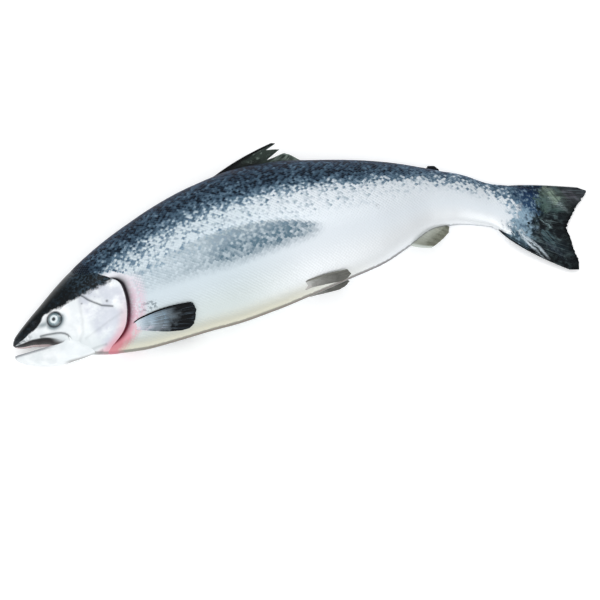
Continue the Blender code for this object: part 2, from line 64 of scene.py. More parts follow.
# x, axis to back, axis to belly, half thickness, height of the axis over the table
SECTIONS = ((0.0, 0.0035, 0.003, 0.004, 0.0265), (0.004, 0.0078, 0.0052, 0.0085, 0.0265),
            (0.01, 0.0115, 0.0076, 0.012, 0.027), (0.02, 0.0168, 0.0105, 0.016, 0.028),
            (0.035, 0.024, 0.0175, 0.02, 0.0295), (0.055, 0.0322, 0.039, 0.0245, 0.0315),
            (0.08, 0.042, 0.063, 0.03, 0.034), (0.11, 0.0532, 0.0768, 0.0355, 0.0365),
            (0.145, 0.0648, 0.088, 0.0395, 0.038), (0.18, 0.0748, 0.0932, 0.042, 0.0395),
            (0.22, 0.085, 0.097, 0.044, 0.041), (0.27, 0.0945, 0.1005, 0.046, 0.0425),
            (0.32, 0.1, 0.0975, 0.0465, 0.043), (0.37, 0.097, 0.09, 0.0455, 0.042),
            (0.42, 0.088, 0.0795, 0.043, 0.0398), (0.47, 0.078, 0.0675, 0.0385, 0.0355),
            (0.51, 0.0675, 0.05, 0.033, 0.0305), (0.55, 0.054, 0.031, 0.0265, 0.0245),
            (0.59, 0.0412, 0.0272, 0.02, 0.019), (0.625, 0.0328, 0.0262, 0.014, 0.014),
            (0.655, 0.0362, 0.034, 0.0088, 0.011), (0.668, 0.0375, 0.036, 0.005, 0.0095),
            (0.682, 0.037, 0.035, 0.0016, 0.008))
BODY_END = 0.682
BACK_FULLNESS = ((0.0, 1.0), (0.1, 1.05), (0.3, 1.0), (BODY_END, 0.92))
BELLY_FULLNESS = ((0.0, 1.05), (0.04, 1.1), (0.06, 1.22), (0.09, 1.18), (0.125, 1.05), (0.2, 0.88),
                  (0.45, 0.85), (0.56, 0.95), (BODY_END, 0.92))
BELLY_SQUARENESS = ((0.0, 0.65), (0.03, 0.55), (0.055, 0.65), (0.075, 0.85), (0.1, 1.0), (BODY_END, 1.0))
SNOUT_CAP = 0.0018
TABLE_GAP = 0.0008          # the skin stops this far over the table, to leave room for its scales
SLOPE_STEP = 0.001


def smooth_curve(points):
    """Curve through the points that never overshoots, for one number or a whole array."""
    xs, ys = (np.array(column, float) for column in zip(*points))
    widths = np.diff(xs)
    rates = np.diff(ys) / widths
    slopes = np.concatenate(([rates[0]], np.zeros(len(xs) - 2), [rates[-1]]))
    for i in range(1, len(xs) - 1):
        if rates[i - 1] * rates[i] > 0.0:
            before = 2.0 * widths[i] + widths[i - 1]
            after = widths[i] + 2.0 * widths[i - 1]
            slopes[i] = (before + after) / (before / rates[i - 1] + after / rates[i])

    def value(x):
        x = np.asarray(x, float)
        i = np.clip(np.searchsorted(xs, x, side="right") - 1, 0, len(xs) - 2)
        t = np.clip((x - xs[i]) / widths[i], 0.0, 1.0)
        start = ys[i] * (1.0 + 2.0 * t) * (1.0 - t) ** 2 + slopes[i] * widths[i] * t * (1.0 - t) ** 2
        end = ys[i + 1] * t * t * (3.0 - 2.0 * t) + slopes[i + 1] * widths[i] * t * t * (t - 1.0)
        beyond = slopes[0] * np.minimum(x - xs[0], 0.0) + slopes[-1] * np.maximum(x - xs[-1], 0.0)
        return start + end + beyond

    return value


def ease(t):
    """Smooth step from 0 to 1."""
    t = np.clip(t, 0.0, 1.0)
    return t * t * (3.0 - 2.0 * t)


axis_line = smooth_curve(AXIS)
to_back, to_belly, half_thickness, axis_height = (
    smooth_curve([(row[0], row[k]) for row in SECTIONS]) for k in (1, 2, 3, 4))
back_fullness = smooth_curve(BACK_FULLNESS)
belly_fullness = smooth_curve(BELLY_FULLNESS)
belly_squareness = smooth_curve(BELLY_SQUARENESS)


def back_direction(x):
    """Unit direction in the table plane from the axis toward the back, as two arrays."""
    rise = (axis_line(x + SLOPE_STEP) - axis_line(x - SLOPE_STEP)) / (2.0 * SLOPE_STEP)
    length = np.sqrt(1.0 + rise * rise)
    return -rise / length, 1.0 / length


def thickness_share(x, cosine):
    """Half thickness of a section at one height, as a share of its greatest."""
    sine = np.sqrt(np.clip(1.0 - cosine * cosine, 0.0, 1.0))
    back = sine * (1.0 + (back_fullness(x) - 1.0) * cosine * cosine)
    belly = sine ** belly_squareness(x) * (1.0 + (belly_fullness(x) - 1.0) * cosine * cosine)
    return np.where(cosine > 0.0, back, belly)


def section_point(x, angle, relief):
    """Points of the body surface, in plan metres from the snout; angle 0 is the back edge."""
    x, angle, relief = np.broadcast_arrays(x, angle, relief)
    cosine, sine = np.cos(angle), np.sin(angle)
    depth = 0.5 * (to_back(x) + to_belly(x))
    half = half_thickness(x)
    out_v, out_w = cosine / depth, sine / half
    length = np.hypot(out_v, out_w)
    v = 0.5 * (to_back(x) - to_belly(x)) + depth * cosine + relief * out_v / length
    w = half * np.copysign(thickness_share(x, cosine), sine) + relief * out_w / length
    back_x, back_y = back_direction(x)
    height = np.maximum(axis_height(x) + w, TABLE_GAP)
    return np.stack([x + back_x * v, axis_line(x) + back_y * v, height], axis=-1)


print("greatest depth", float(to_back(0.3) + to_belly(0.3)))

# %% [markdown]
# ## Gill cover, belly slit and the lines of the face
# A bare cone would not read as a head. What makes it one is shallow: the free edge of the gill cover
# and the slit behind it, the plate of the upper jaw, the seams between the bones of the cheek and
# the rim of the eye socket. Each is relief, a height over the plain section. The face lines are
# written as paths on the flank seen from above, and the same paths serve both flanks.

# %% Relief of the skin
GILL_X = 0.1416
GILL_TOP = 0.25
GILL_UPPER_SWEEP = 0.021
GILL_LOWER_SWEEP = 0.037
GILL_FADE = 0.04
THROAT_FADE = 0.2
THROAT_FROM = 0.6
THROAT_SWEEP = 0.09
GILL_REACH = 0.12
# Height of the skin across the edge of the gill cover: (distance behind the edge, height)
GILL_PROFILE = ((-0.03, 0.0), (-0.004, 0.0013), (-0.0008, 0.0015), (0.0, 0.0008), (0.0005, -0.0028),
                (0.0012, -0.0044), (0.0022, -0.0046), (0.004, -0.003), (0.008, -0.0014), (0.016, -0.0004),
                (0.03, 0.0))
SLIT_SPAN = (0.12, 0.17, 0.47, 0.505)
SLIT_DEPTH = 0.0022
SLIT_HALF_ANGLE = 0.035
# The gill slit gets painted shade that deepens with its depth
SLIT_SHADE_DEPTHS = (0.0006, 0.0024)    # depth at which the gill slit starts to darken, and over which it does
FACE_FADE = 0.006           # the lines of the face fade out this far before the gill edge
# Lines of the face: (path, half width, depth, how dark the painted shade in the groove is)
FACE_LINES = (
    (((0.035, -0.0028), (0.0424, -0.0034), (0.0497, -0.0046), (0.0558, -0.0057), (0.0604, -0.007),
      (0.065, -0.0092), (0.0682, -0.0118), (0.07, -0.0153), (0.0706, -0.0185)), 0.0012, 0.001, 0.75),
    (((0.09, 0.0345), (0.0958, 0.0288), (0.101, 0.0225), (0.1066, 0.0178), (0.1164, 0.0105),
      (0.129, 0.006)), 0.0012, 0.0011, 0.8),
    (((0.0905, 0.03), (0.0893, 0.015), (0.089, 0.0), (0.0865, -0.014), (0.079, -0.025),
      (0.069, -0.03)), 0.0022, 0.0006, 0.12),
    (((0.1385, -0.004), (0.12, -0.0105), (0.103, -0.017), (0.089, -0.0215)), 0.0016, 0.0005, 0.12),
    (((0.112, -0.033), (0.095, -0.033), (0.079, -0.0325)), 0.0012, 0.0006, 0.25),
    (((0.106, -0.0365), (0.092, -0.037), (0.076, -0.0355)), 0.001, 0.0006, 0.3),
    (((0.068, 0.001), (0.0745, -0.003), (0.079, -0.009), (0.079, -0.016)), 0.0022, 0.0003, 0.05))
# Dots of the face: plan place, radius and darkness
FACE_DOTS = ((0.0925, 0.02, 0.0011, 0.75), (0.1235, 0.014, 0.0015, 0.85), (0.0668, 0.013, 0.0008, 0.6),
             (0.11, 0.0235, 0.0007, 0.35))
JAW_PLATE_HEIGHT = 0.0007   # how far the plate of the upper jaw stands out below its seam
JAW_PLATE_DEPTH = 0.012     # how far down from the seam it reaches
JAW_PLATE_SPAN = (0.01, 0.078)  # its front and rear end
NOSTRILS = ((0.0292, 0.0148, 0.001), (0.0322, 0.016, 0.0008))   # plan place and radius
NOSTRIL_DEPTH = 0.0014
EYE_SOCKET_RADIUS = 0.0092
EYE_SOCKET_DEPTH = 0.0045
EYE_RIM_HEIGHT = 0.0007
EYE_FOLD_DEPTH = 0.0003
# Rim, fold, dark ring and dusky skin about the socket: distance beyond its edge and width
EYE_BUMPS = ((0.0014, 0.0013), (0.0042, 0.001), (0.0002, 0.0011), (0.0012, 0.003))
# How far before and below the eye, and its half sizes
DUSKY_PATCH = ((0.015, 0.0022), (0.0085, 0.0034))


def gill_station(cosine):
    """Station of the gill cover's free edge at one height of the section."""
    upper = GILL_X - GILL_UPPER_SWEEP * ease(0.5 * cosine / GILL_TOP)
    throat = np.maximum(-cosine - THROAT_FROM, 0.0)
    lower = GILL_X - GILL_LOWER_SWEEP * cosine ** 2 - THROAT_SWEEP * throat ** 2
    return np.where(cosine > 0.0, upper, lower)


def ring_station(distance, cosine):
    """Station where a ring, counted from the gill edge, crosses one height of the section."""
    shift = gill_station(cosine) - GILL_X
    ahead = GILL_X + distance + shift * (1.0 + distance / GILL_X)
    behind = GILL_X + distance + shift * (1.0 - ease(distance / GILL_REACH))
    return np.where(distance < 0.0, ahead, behind)


gill_profile = smooth_curve(GILL_PROFILE)


def slit_shown(cosine):
    """How open the gill slit is at one height: it fades out over the nape and under the throat."""
    return ease((GILL_TOP + GILL_FADE - cosine) / (4.0 * GILL_FADE)) * ease((cosine + 1.0) / THROAT_FADE)


def path_distance(px, py, path):
    """Distance of plan points from a path, and on which side of it they lie."""
    best = np.full(np.shape(px), 1e9)
    side = np.zeros(np.shape(px))
    for (ax, ay), (bx, by) in zip(path, path[1:]):
        dx, dy = bx - ax, by - ay
        t = np.clip(((px - ax) * dx + (py - ay) * dy) / (dx * dx + dy * dy), 0.0, 1.0)
        away = np.hypot(px - ax - t * dx, py - ay - t * dy)
        near = away < best
        best = np.where(near, away, best)
        side = np.where(near, np.sign(dx * (py - ay) - dy * (px - ax)), side)
    return best, side


def eye_frames():
    """Place and outward direction of each eyeball, from the boxes of the solid's eyes."""
    frames = {}
    for name, side in (("eye_left", 1.0), ("eye_right", -1.0)):
        low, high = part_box(name)
        frames[name] = (np.array((low + high) / 2.0), side)
    return frames


EYE_STATION = 0.0545
EYE_ANGLE = math.acos(-0.02)
EYE_SEAT = 0.0055


def surface_frame(x, angle):
    """Plain surface point at a station and angle, with its outward and tailward directions."""
    here = section_point(x, angle, 0.0)
    ahead = section_point(x + SLOPE_STEP, angle, 0.0) - here
    turned = section_point(x, angle + 0.01, 0.0) - here
    outward = np.cross(ahead, turned)
    outward = outward / np.linalg.norm(outward, axis=-1, keepdims=True)
    centre = section_point(x, 0.0, 0.0) * 0.5 + section_point(x, math.pi, 0.0) * 0.5
    flip = np.sign(np.sum(outward * (here - centre), axis=-1, keepdims=True))
    return here, outward * flip, ahead / np.linalg.norm(ahead, axis=-1, keepdims=True)


eye_skin, eye_out = surface_frame(EYE_STATION, EYE_ANGLE)[:2]
eye_centre_plan = eye_skin - eye_out * EYE_SEAT
eye_up = np.array([back_direction(EYE_STATION)[0], back_direction(EYE_STATION)[1], 0.0])
eye_box_centre = eye_frames()["eye_left"][0]
PLAN_SHIFT = (eye_centre_plan - eye_box_centre) * (1.0, 1.0, 0.0)
print("plan shift", PLAN_SHIFT)


def bell(away, middle, width):
    """Rounded bump of height 1 about a middle."""
    return np.exp(-((away - middle) / width) ** 2)


def face_relief(px, py, height, station):
    """Relief of the face over the plain section, painted shade in its seams, dusky skin round the eye."""
    relief = np.zeros(np.shape(px))
    seam = np.zeros(np.shape(px))
    orbit = np.zeros(np.shape(px))
    for k, (path, half_width, depth, darkness) in enumerate(FACE_LINES):
        away, side = path_distance(px, py, path)
        line = bell(away, 0.0, half_width)
        relief -= depth * line
        seam = np.maximum(seam, darkness * line)
        if k == 0:
            below = ease(away / 0.0015) * ease((JAW_PLATE_DEPTH - away) / 0.006) * (side < 0.0)
            ends = ease((JAW_PLATE_SPAN[1] - px) / 0.008), ease((px - JAW_PLATE_SPAN[0]) / 0.01)
            relief += JAW_PLATE_HEIGHT * below * ends[0] * ends[1]
    for dx, dy, radius, darkness in FACE_DOTS:
        seam = np.maximum(seam, darkness * np.exp(-((px - dx) ** 2 + (py - dy) ** 2) / radius ** 2))
    for nx, ny, radius in NOSTRILS:
        away = np.hypot(px - nx, py - ny) / radius
        relief += -NOSTRIL_DEPTH * np.exp(-away ** 2) + 0.0004 * np.exp(-(away - 1.9) ** 2 / 0.2)
        # painted shade in the nostril's pit
        seam = np.maximum(seam, np.exp(-(away / 0.9) ** 2))
    middle = axis_height(station)
    for side in (1.0, -1.0):
        out = eye_out * (1.0, 1.0, side)
        gap = np.stack([px - eye_skin[0], py - eye_skin[1], height - middle], axis=-1)
        gap[..., 2] -= side * (eye_skin[2] - axis_height(EYE_STATION))
        along = gap @ out
        away = np.sqrt(np.maximum((gap ** 2).sum(-1) - along ** 2, 0.0))
        mine = np.abs(along) < 0.02
        socket = ease((EYE_SOCKET_RADIUS - away) / 0.0016)
        rim, fold, ring, dusk = (bell(away - EYE_SOCKET_RADIUS, *bump) for bump in EYE_BUMPS)
        bumps = EYE_RIM_HEIGHT * rim - EYE_FOLD_DEPTH * fold
        relief += np.where(mine, -EYE_SOCKET_DEPTH * socket + bumps, 0.0)
        # painted shade in the eye socket and a dark ring round its edge
        seam = np.maximum(seam, 0.95 * np.maximum(ring * mine, socket * mine))
        lower = ease(0.5 - (gap @ eye_up) / 0.012)
        orbit = np.maximum(orbit, mine * lower * dusk)
    (ahead, below), (length, height) = DUSKY_PATCH
    away = ((px - eye_skin[0] + ahead) / length) ** 2 + ((py - eye_skin[1] + below) / height) ** 2
    return relief, seam, np.maximum(orbit, 0.85 * np.exp(-away))


def skin(station, angle):
    """Skin points with all their relief, in plan metres, and the named marks that the finish reads."""
    station, angle = np.broadcast_arrays(station, angle)
    cosine = np.cos(angle)
    plain = section_point(station, angle, 0.0)
    behind = station - gill_station(cosine)
    gill = gill_profile(np.clip(behind, GILL_PROFILE[0][0], GILL_PROFILE[-1][0])) * slit_shown(cosine)
    start, full, fading, end = SLIT_SPAN
    along = np.minimum(ease((station - start) / (full - start)), ease((end - station) / (end - fading)))
    across = np.clip(1.0 - np.abs(np.abs(angle) - math.pi) / SLIT_HALF_ANGLE, 0.0, 1.0)
    belly_slit = ease(across) * along
    face, seam, orbit = face_relief(plain[..., 0], plain[..., 1], plain[..., 2], station)
    on_head = ease(-behind / FACE_FADE)
    relief = gill - SLIT_DEPTH * belly_slit + face * on_head
    # painted shade deep in the gill slit
    slit_shade_by_depth = np.clip((-gill - SLIT_SHADE_DEPTHS[0]) / SLIT_SHADE_DEPTHS[1], 0.0, 1.0)
    marks = {"station": station, "girth": np.abs(angle) / math.pi, "behind": behind,
             "seam": seam * on_head, "orbit": orbit * on_head,
             "slit": np.maximum(slit_shade_by_depth, belly_slit)}
    return section_point(station, angle, relief), marks


# %% [markdown]
# ## One mesh for head and trunk
# The skin is a grid of rings and columns: rings follow the gill edge, so that the slit is cut cleanly,
# and columns crowd on the flanks, where the face has its detail. A grid like this is quickest to write
# with arrays. Each corner also gets a place on a flat map, so that the finish can be baked later.

# %% Grid meshes
MAP_MARGIN = 0.02           # how much of the flat map each end of a closed piece takes


def set_marks(mesh, marks):
    """Stores named numbers, or directions of three numbers, on the points of a mesh."""
    for key, values in marks.items():
        values = np.ascontiguousarray(values, np.float32)
        kind, field = ("FLOAT_VECTOR", "vector") if values.ndim == 2 else ("FLOAT", "value")
        if key not in mesh.attributes:
            mesh.attributes.new(key, kind, "POINT")
        mesh.attributes[key].data.foreach_set(field, values.ravel())


def get_mark(mesh, key):
    """Values of one mark of a mesh."""
    return np.array([item.value for item in mesh.attributes[key].data])


def make_object(name, points, faces=(), places=(), marks=None, edges=()):
    """Object from arrays: points, faces, the map place of each face corner, marks and loose edges."""
    mesh = bpy.data.meshes.new(name)
    mesh.from_pydata(points.reshape(-1, 3) - PLAN_SHIFT, edges, faces)
    if len(places):
        layer = mesh.uv_layers.new(name="OFBake")
        layer.uv.foreach_set("vector", np.ascontiguousarray(places, np.float32).ravel())
    set_marks(mesh, marks)
    mesh.shade_smooth()
    obj = bpy.data.objects.new(name, mesh)
    bpy.context.scene.collection.objects.link(obj)
    return obj


def map_places(*corners):
    """Places on the flat map of faces, from the two coordinates of each corner."""
    return np.stack([np.stack(np.broadcast_arrays(*corner), -1) for corner in corners], 1).reshape(-1, 2)


def turn_outward(obj):
    """Makes all faces of a closed piece point out."""
    work = bmesh.new()
    work.from_mesh(obj.data)
    bmesh.ops.recalc_face_normals(work, faces=work.faces)
    work.to_mesh(obj.data)
    work.free()


def tube_faces(rings, columns):
    """Quads of a tube of closed rings, and the ring and column number of each corner."""
    r, c = np.indices((rings - 1, columns)).reshape(2, -1)
    n = (c + 1) % columns
    faces = np.stack([r * columns + c, r * columns + n, (r + 1) * columns + n, (r + 1) * columns + c], 1)
    rows = np.stack([r, r, r + 1, r + 1], 1)
    cols = np.stack([c, c + 1, c + 1, c], 1)
    return faces, rows, cols


def closed_tube(name, points, marks, tips):
    """Piece skinned over closed rings, each end drawn to one point."""
    margin = MAP_MARGIN
    rings, columns = points.shape[:2]
    faces, rows, cols = tube_faces(rings, columns)
    span = 1.0 - 2.0 * margin
    places = np.stack([margin + span * rows / (rings - 1.0), cols / columns], -1).reshape(-1, 2)
    first = rings * columns
    c = np.arange(columns)
    n = (c + 1) % columns
    last = (rings - 1) * columns
    start = np.stack([np.full(columns, first), n, c], 1)
    end = np.stack([np.full(columns, first + 1), last + c, last + n], 1)
    middle = (c + 0.5) / columns
    before, after = c / columns, (c + 1) / columns
    start_places = map_places((0.0, middle), (margin, after), (margin, before))
    end_places = map_places((1.0, middle), (1.0 - margin, before), (1.0 - margin, after))
    all_points = np.concatenate([points.reshape(-1, 3), np.array(tips)])
    all_faces = faces.tolist() + start.tolist() + end.tolist()
    all_places = np.concatenate([places, start_places, end_places])
    full_marks = {key: np.concatenate([values.ravel(), [values[0].mean(), values[-1].mean()]])
                  for key, values in marks.items()}
    obj = make_object(name, all_points, all_faces, all_places, full_marks)
    turn_outward(obj)
    return obj


# %% Rings and columns of the skin
HEAD_RINGS = 190
RINGS_ABOUT_SLIT = (-0.0022, -0.0014, -0.0008, -0.0003, 0.0, 0.0003, 0.0006, 0.001, 0.0015, 0.0021,
                    0.0028, 0.0036, 0.0046, 0.0058, 0.0072, 0.009, 0.0112, 0.014, 0.0172, 0.0208, 0.0248,
                    0.029)
TRUNK_RING_PITCH = 0.0045
SKIN_END = 0.6878           # the skin tapers away here, inside the web of the tail
HALF_COLUMNS = 136
FLANK_CROWDING = 1.5        # how much denser the columns are at the middle of the flank
SNOUT_CROWDING = 1.12


def ring_distances():
    """Distances of the rings from the gill edge, snout first."""
    share = np.linspace(0.0, 1.0, HEAD_RINGS) ** SNOUT_CROWDING
    ahead = share * (GILL_X - 0.003) - GILL_X
    rest = SKIN_END - GILL_X - RINGS_ABOUT_SLIT[-1]
    count = round(rest / TRUNK_RING_PITCH)
    behind = RINGS_ABOUT_SLIT[-1] + rest * np.arange(1, count + 1) / count
    return np.concatenate([ahead, RINGS_ABOUT_SLIT, behind])


def column_angles():
    """Angles round a section: crowded on the flanks, with extra ones in the belly slit."""
    girth = np.linspace(0.0, 1.0, 2001)
    density = 1.0 + FLANK_CROWDING * np.exp(-((girth - 0.58) / 0.2) ** 2)
    total = np.concatenate([[0.0], np.cumsum(0.5 * (density[1:] + density[:-1]))])
    half = np.interp(np.linspace(0.0, total[-1], HALF_COLUMNS + 1), total, girth)
    slit = 1.0 - SLIT_HALF_ANGLE / math.pi * np.array([1.25, 0.9, 0.6, 0.3])
    half = np.sort(np.concatenate([half[half < slit[0] - 0.002], slit, [1.0]]))
    return math.pi * np.concatenate([half, -half[-2:0:-1]])


angles = column_angles()
distances = ring_distances()
stations = ring_station(distances[:, None], np.cos(angles)[None, :])
skin_points, skin_marks = skin(stations, np.broadcast_to(angles, stations.shape))
snout_tip = (-SNOUT_CAP, float(axis_line(0.0)), float(axis_height(0.0)))
tail_tip = (SKIN_END + 0.0002, float(axis_line(SKIN_END)), float(axis_height(SKIN_END)))
body_skin = closed_tube("skin", skin_points, skin_marks, (snout_tip, tail_tip))
print("skin", len(body_skin.data.vertices), "points", len(distances), "rings", len(angles), "columns")

# %% [markdown]
# ## The pattern of the flank
# Most of the pattern belongs to the fish: nearly black along the back, breaking up scale by scale
# into silver, with a dusky blue band at mid flank and a white belly that turns cream at its edge.
# The dusky band is part pigment and part painted reflection, and a thin painted shadow runs along the
# edge of the belly. It is kept as marks, numbers stored on each point: how dark, how dusky, how
# creamy. They are worked out from how far along the body and how far round the girth a point lies,
# so they follow the bowed body on both flanks, and every finish can read them.

# %% Marks of the flank pattern
# Girth share where the black back starts to break up, and where its last dark scales lie
DARK_FROM = ((0.1, 0.26), (0.2, 0.23), (0.25, 0.25), (0.3, 0.28), (0.35, 0.3), (0.42, 0.29), (0.5, 0.25),
             (0.6, 0.18), (0.68, 0.3))
DARK_TO = ((0.1, 0.5), (0.15, 0.5), (0.2, 0.475), (0.25, 0.455), (0.3, 0.445), (0.42, 0.45), (0.5, 0.48),
           (0.56, 0.52), (0.62, 0.55), (0.68, 0.62))
DARK_MOST = ((0.1, 1.0), (0.45, 1.0), (0.52, 0.94), (0.56, 0.78), (0.6, 0.58), (0.635, 0.56),
             (0.648, 0.9), (0.655, 1.0), (0.68, 1.0))
# Top, bottom and depth of the dusky band: part pigment, part painted reflection of a dark gap overhead
DUSK_TOP = ((0.14, 0.47), (0.25, 0.462), (0.3, 0.475), (0.33, 0.49), (0.353, 0.505), (0.377, 0.53),
            (0.41, 0.57))
DUSK_BOTTOM = ((0.14, 0.61), (0.2, 0.64), (0.3, 0.66), (0.38, 0.655), (0.42, 0.63))
DUSK_DEPTH = ((0.13, 0.0), (0.155, 0.25), (0.2, 0.4), (0.25, 0.68), (0.29, 1.0), (0.35, 1.0), (0.38, 0.9),
              (0.41, 0.0), (0.7, 0.0))
# Small spots of the flank: station, girth share, half sizes of both and strength
FLANK_SPOTS = ((0.16, 0.668, 0.013, 0.03, 1.0), (0.4765, 0.551, 0.003, 0.011, 0.5),
               (0.4815, 0.566, 0.003, 0.011, 0.4))
# How strongly single dark scales are strewn over the silver between back and dusky band
STREWN = ((0.1, 0.1), (0.2, 0.1), (0.3, 0.09), (0.4, 0.07), (0.52, 0.06), (0.68, 0.05))
dark_from, dark_to, dark_most = map(smooth_curve, (DARK_FROM, DARK_TO, DARK_MOST))
dusk_top, dusk_bottom, dusk_depth = map(smooth_curve, (DUSK_TOP, DUSK_BOTTOM, DUSK_DEPTH))
strewn = smooth_curve(STREWN)


def pattern(station, girth):
    """Marks of the flank pattern at a station and a girth share."""
    low, high = dark_from(station), dark_to(station)
    dark = (1.0 - ease((girth - low) / (high - low))) * dark_most(station)
    dark += 0.25 * ease((0.22 - girth) / 0.16) * dark_most(station)
    dark = np.maximum(dark, strewn(station) * ease((0.6 - girth) / 0.12))
    # dusky band: part pigment, part painted reflection
    dusk = dusk_depth(station) * ease((girth - dusk_top(station)) / 0.022)
    dusk *= ease((dusk_bottom(station) - girth) / 0.075)
    cream = ease((girth - 0.8) / 0.16) * ease((0.5 - station) / 0.2)
    rear = ease((station - 0.26) / 0.14)
    # painted shadow along the edge of the belly, where it meets the floor
    underside_shadow = ease((girth - 0.95) / 0.022) * ease((0.6 - station) / 0.05)
    specks = 0.0 * station
    for place, height, half_place, half_height, strength in FLANK_SPOTS:
        away = ((station - place) / half_place) ** 2 + ((girth - height) / half_height) ** 2
        specks = np.maximum(specks, strength * ease((1.4 - away) / 0.9))
    return {"dark": dark, "dusk": dusk, "cream": cream, "rear": rear, "underside_shadow": underside_shadow, "girth": girth,
            "specks": specks}


# %% [markdown]
# ## Scales
# A salmon's scales lie in rows along the body, each row shifted by half a scale, and each scale has
# its own small tilt, which is what makes the flank glitter. Painting them would look flat. Moving one
# dense mesh up and down would need millions of points. So one small scale is made once, and
# Geometry Nodes sets it on every place of a lattice laid over the skin. The lattice is measured with a
# tape, so to say: along the axis, and round the girth from the lateral line, so that the rows end at
# the back and the belly as they do on the fish.

# %% Lattice of scale places
SCALE_PITCH = 0.0045        # along the body
ROW_PITCH = 0.00225         # round the girth, each row shifted by half a scale
SCALED_FROM = ((0.0, -0.03), (0.2, -0.022), (0.34, -0.004), (0.4, 0.008), (0.46, 0.015), (0.58, 0.018),
               (0.75, 0.018), (0.9, 0.015), (1.0, 0.012))
SCALED_TO = 0.6865
RAGGED_END = 0.012
LATERAL_LINE = 0.47         # girth share of the lateral line
KEEL_GIRTH = 0.962          # the bare line along the middle of the belly starts near here
KEEL_END = 0.6              # and ends at this station
LATTICE_FROM = 0.1          # the lattice starts under the gill cover, at this station
PLACE_SPREAD = 0.00022      # how unevenly the scales lie along a row
EDGE_SPREAD = 0.0012        # and how unevenly the rows start
scaled_from = smooth_curve(SCALED_FROM)


def lattice(side, rng):
    """Stations, angles and row numbers of the scale places on one flank."""
    table_x = np.linspace(LATTICE_FROM, SCALED_TO, 240)
    table_angle = np.linspace(0.0, math.pi, 181)
    grid = section_point(table_x[:, None], table_angle[None, :], 0.0)
    steps = np.linalg.norm(np.diff(grid, axis=1), axis=2)
    girth = np.concatenate([np.zeros((len(table_x), 1)), np.cumsum(steps, axis=1)], axis=1)
    line = np.array([np.interp(LATERAL_LINE * math.pi, table_angle, row) for row in girth])
    girth = girth - line[:, None]
    axis_steps = np.hypot(np.diff(table_x), np.diff(axis_line(table_x)))
    axis_length = np.concatenate([[0.0], np.cumsum(axis_steps)])
    found = []
    for j in range(int(axis_length[-1] / SCALE_PITCH * 2.0)):
        x = np.interp(0.5 * SCALE_PITCH * j, axis_length, table_x)
        k = min(int(np.searchsorted(table_x, x)), len(table_x) - 1)
        low, high = girth[k, 0], girth[k, -1]
        first = math.ceil((low + 0.3 * ROW_PITCH) / ROW_PITCH)
        last = math.floor((high - 0.3 * ROW_PITCH) / ROW_PITCH)
        rows = np.array([r for r in range(first, last + 1) if (r + j) % 2 == 0])
        place = np.interp(rows * ROW_PITCH, girth[k], table_angle)
        found.append(np.stack([np.full(len(rows), x), place, rows.astype(float)], 1))
    found = np.concatenate(found)
    jitter = rng.normal(0.0, 1.0, (len(found), 2))
    found[:, 0] += PLACE_SPREAD * jitter[:, 0]
    behind = found[:, 0] - gill_station(np.cos(found[:, 1]))
    kept = behind > scaled_from(found[:, 1] / math.pi) + EDGE_SPREAD * jitter[:, 1]
    kept &= found[:, 0] < SCALED_TO - RAGGED_END * rng.uniform(0.0, 1.0, len(found))
    last_girth = np.where(found[:, 0] < KEEL_END, KEEL_GIRTH, 1.0)
    kept &= found[:, 1] < math.pi * last_girth - 1.3 * SLIT_HALF_ANGLE
    found = found[kept]
    found[:, 1] *= side
    return found


NAPE_DARK = 0.5             # how much darker the first scales behind the crown are
# Size of the first scales, of those by the tail and of those on the back
LEAST_SIZES = (0.66, 0.84, 0.86)
SIZE_SPREAD = 0.05
BELLY_SINK = 0.74           # how much flatter the scales of the belly lie


def scale_places(name, found, rng):
    """Points for some of the scales, with the directions and marks that the nodes read."""
    station, angle = found[:, 0], found[:, 1]
    outward, along = surface_frame(station, angle)[1:]
    count = len(found)
    cells = math.ceil(math.sqrt(count))
    number = np.arange(count)
    cell = np.stack([(number % cells) / cells, (number // cells) / cells, np.full(count, 1.0 / cells)], 1)
    girth = np.abs(angle) / math.pi
    behind = station - gill_station(np.cos(angle)) - scaled_from(girth)
    size = 1.0 + SIZE_SPREAD * rng.normal(0.0, 1.0, count)
    for least, share in zip(LEAST_SIZES, (behind / 0.022, (0.7 - station) / 0.075, girth / 0.25)):
        size = size * (least + (1.0 - least) * ease(share))
    flat = 1.0 - BELLY_SINK * ease((girth - 0.4) / 0.28)
    shoulder = (1.0 - ease(behind / 0.013)) * ease((girth - 0.44) / 0.1)
    nape = (1.0 - ease(behind / 0.024)) * ease((0.4 - girth) / 0.1)
    marks = {"outward": outward, "along": along, "cell": cell, "size": size, "lift": flat,
             "shoulder": shoulder, "tone": rng.uniform(0.0, 1.0, count), **pattern(station, girth)}
    marks["dark"] = marks["dark"] + NAPE_DARK * nape
    print(name, count, "scales")
    return make_object(name, skin(station, angle)[0], marks=marks)


# %% [markdown]
# ### The single scale
# The part of a scale that shows is a small rounded shield. It is a dome of a few dozen faces whose
# rim dips into the skin, so nothing has to be closed underneath, and its rear edge stands proud of
# the next scale, as on the fish.

# %% Shape of one scale
SCALE_SIDES = 8
TOP_SHARE = 0.78            # radius of the top ring as a share of the rim's
REAR_BULGE = 0.1            # how much farther the rear of the top ring reaches


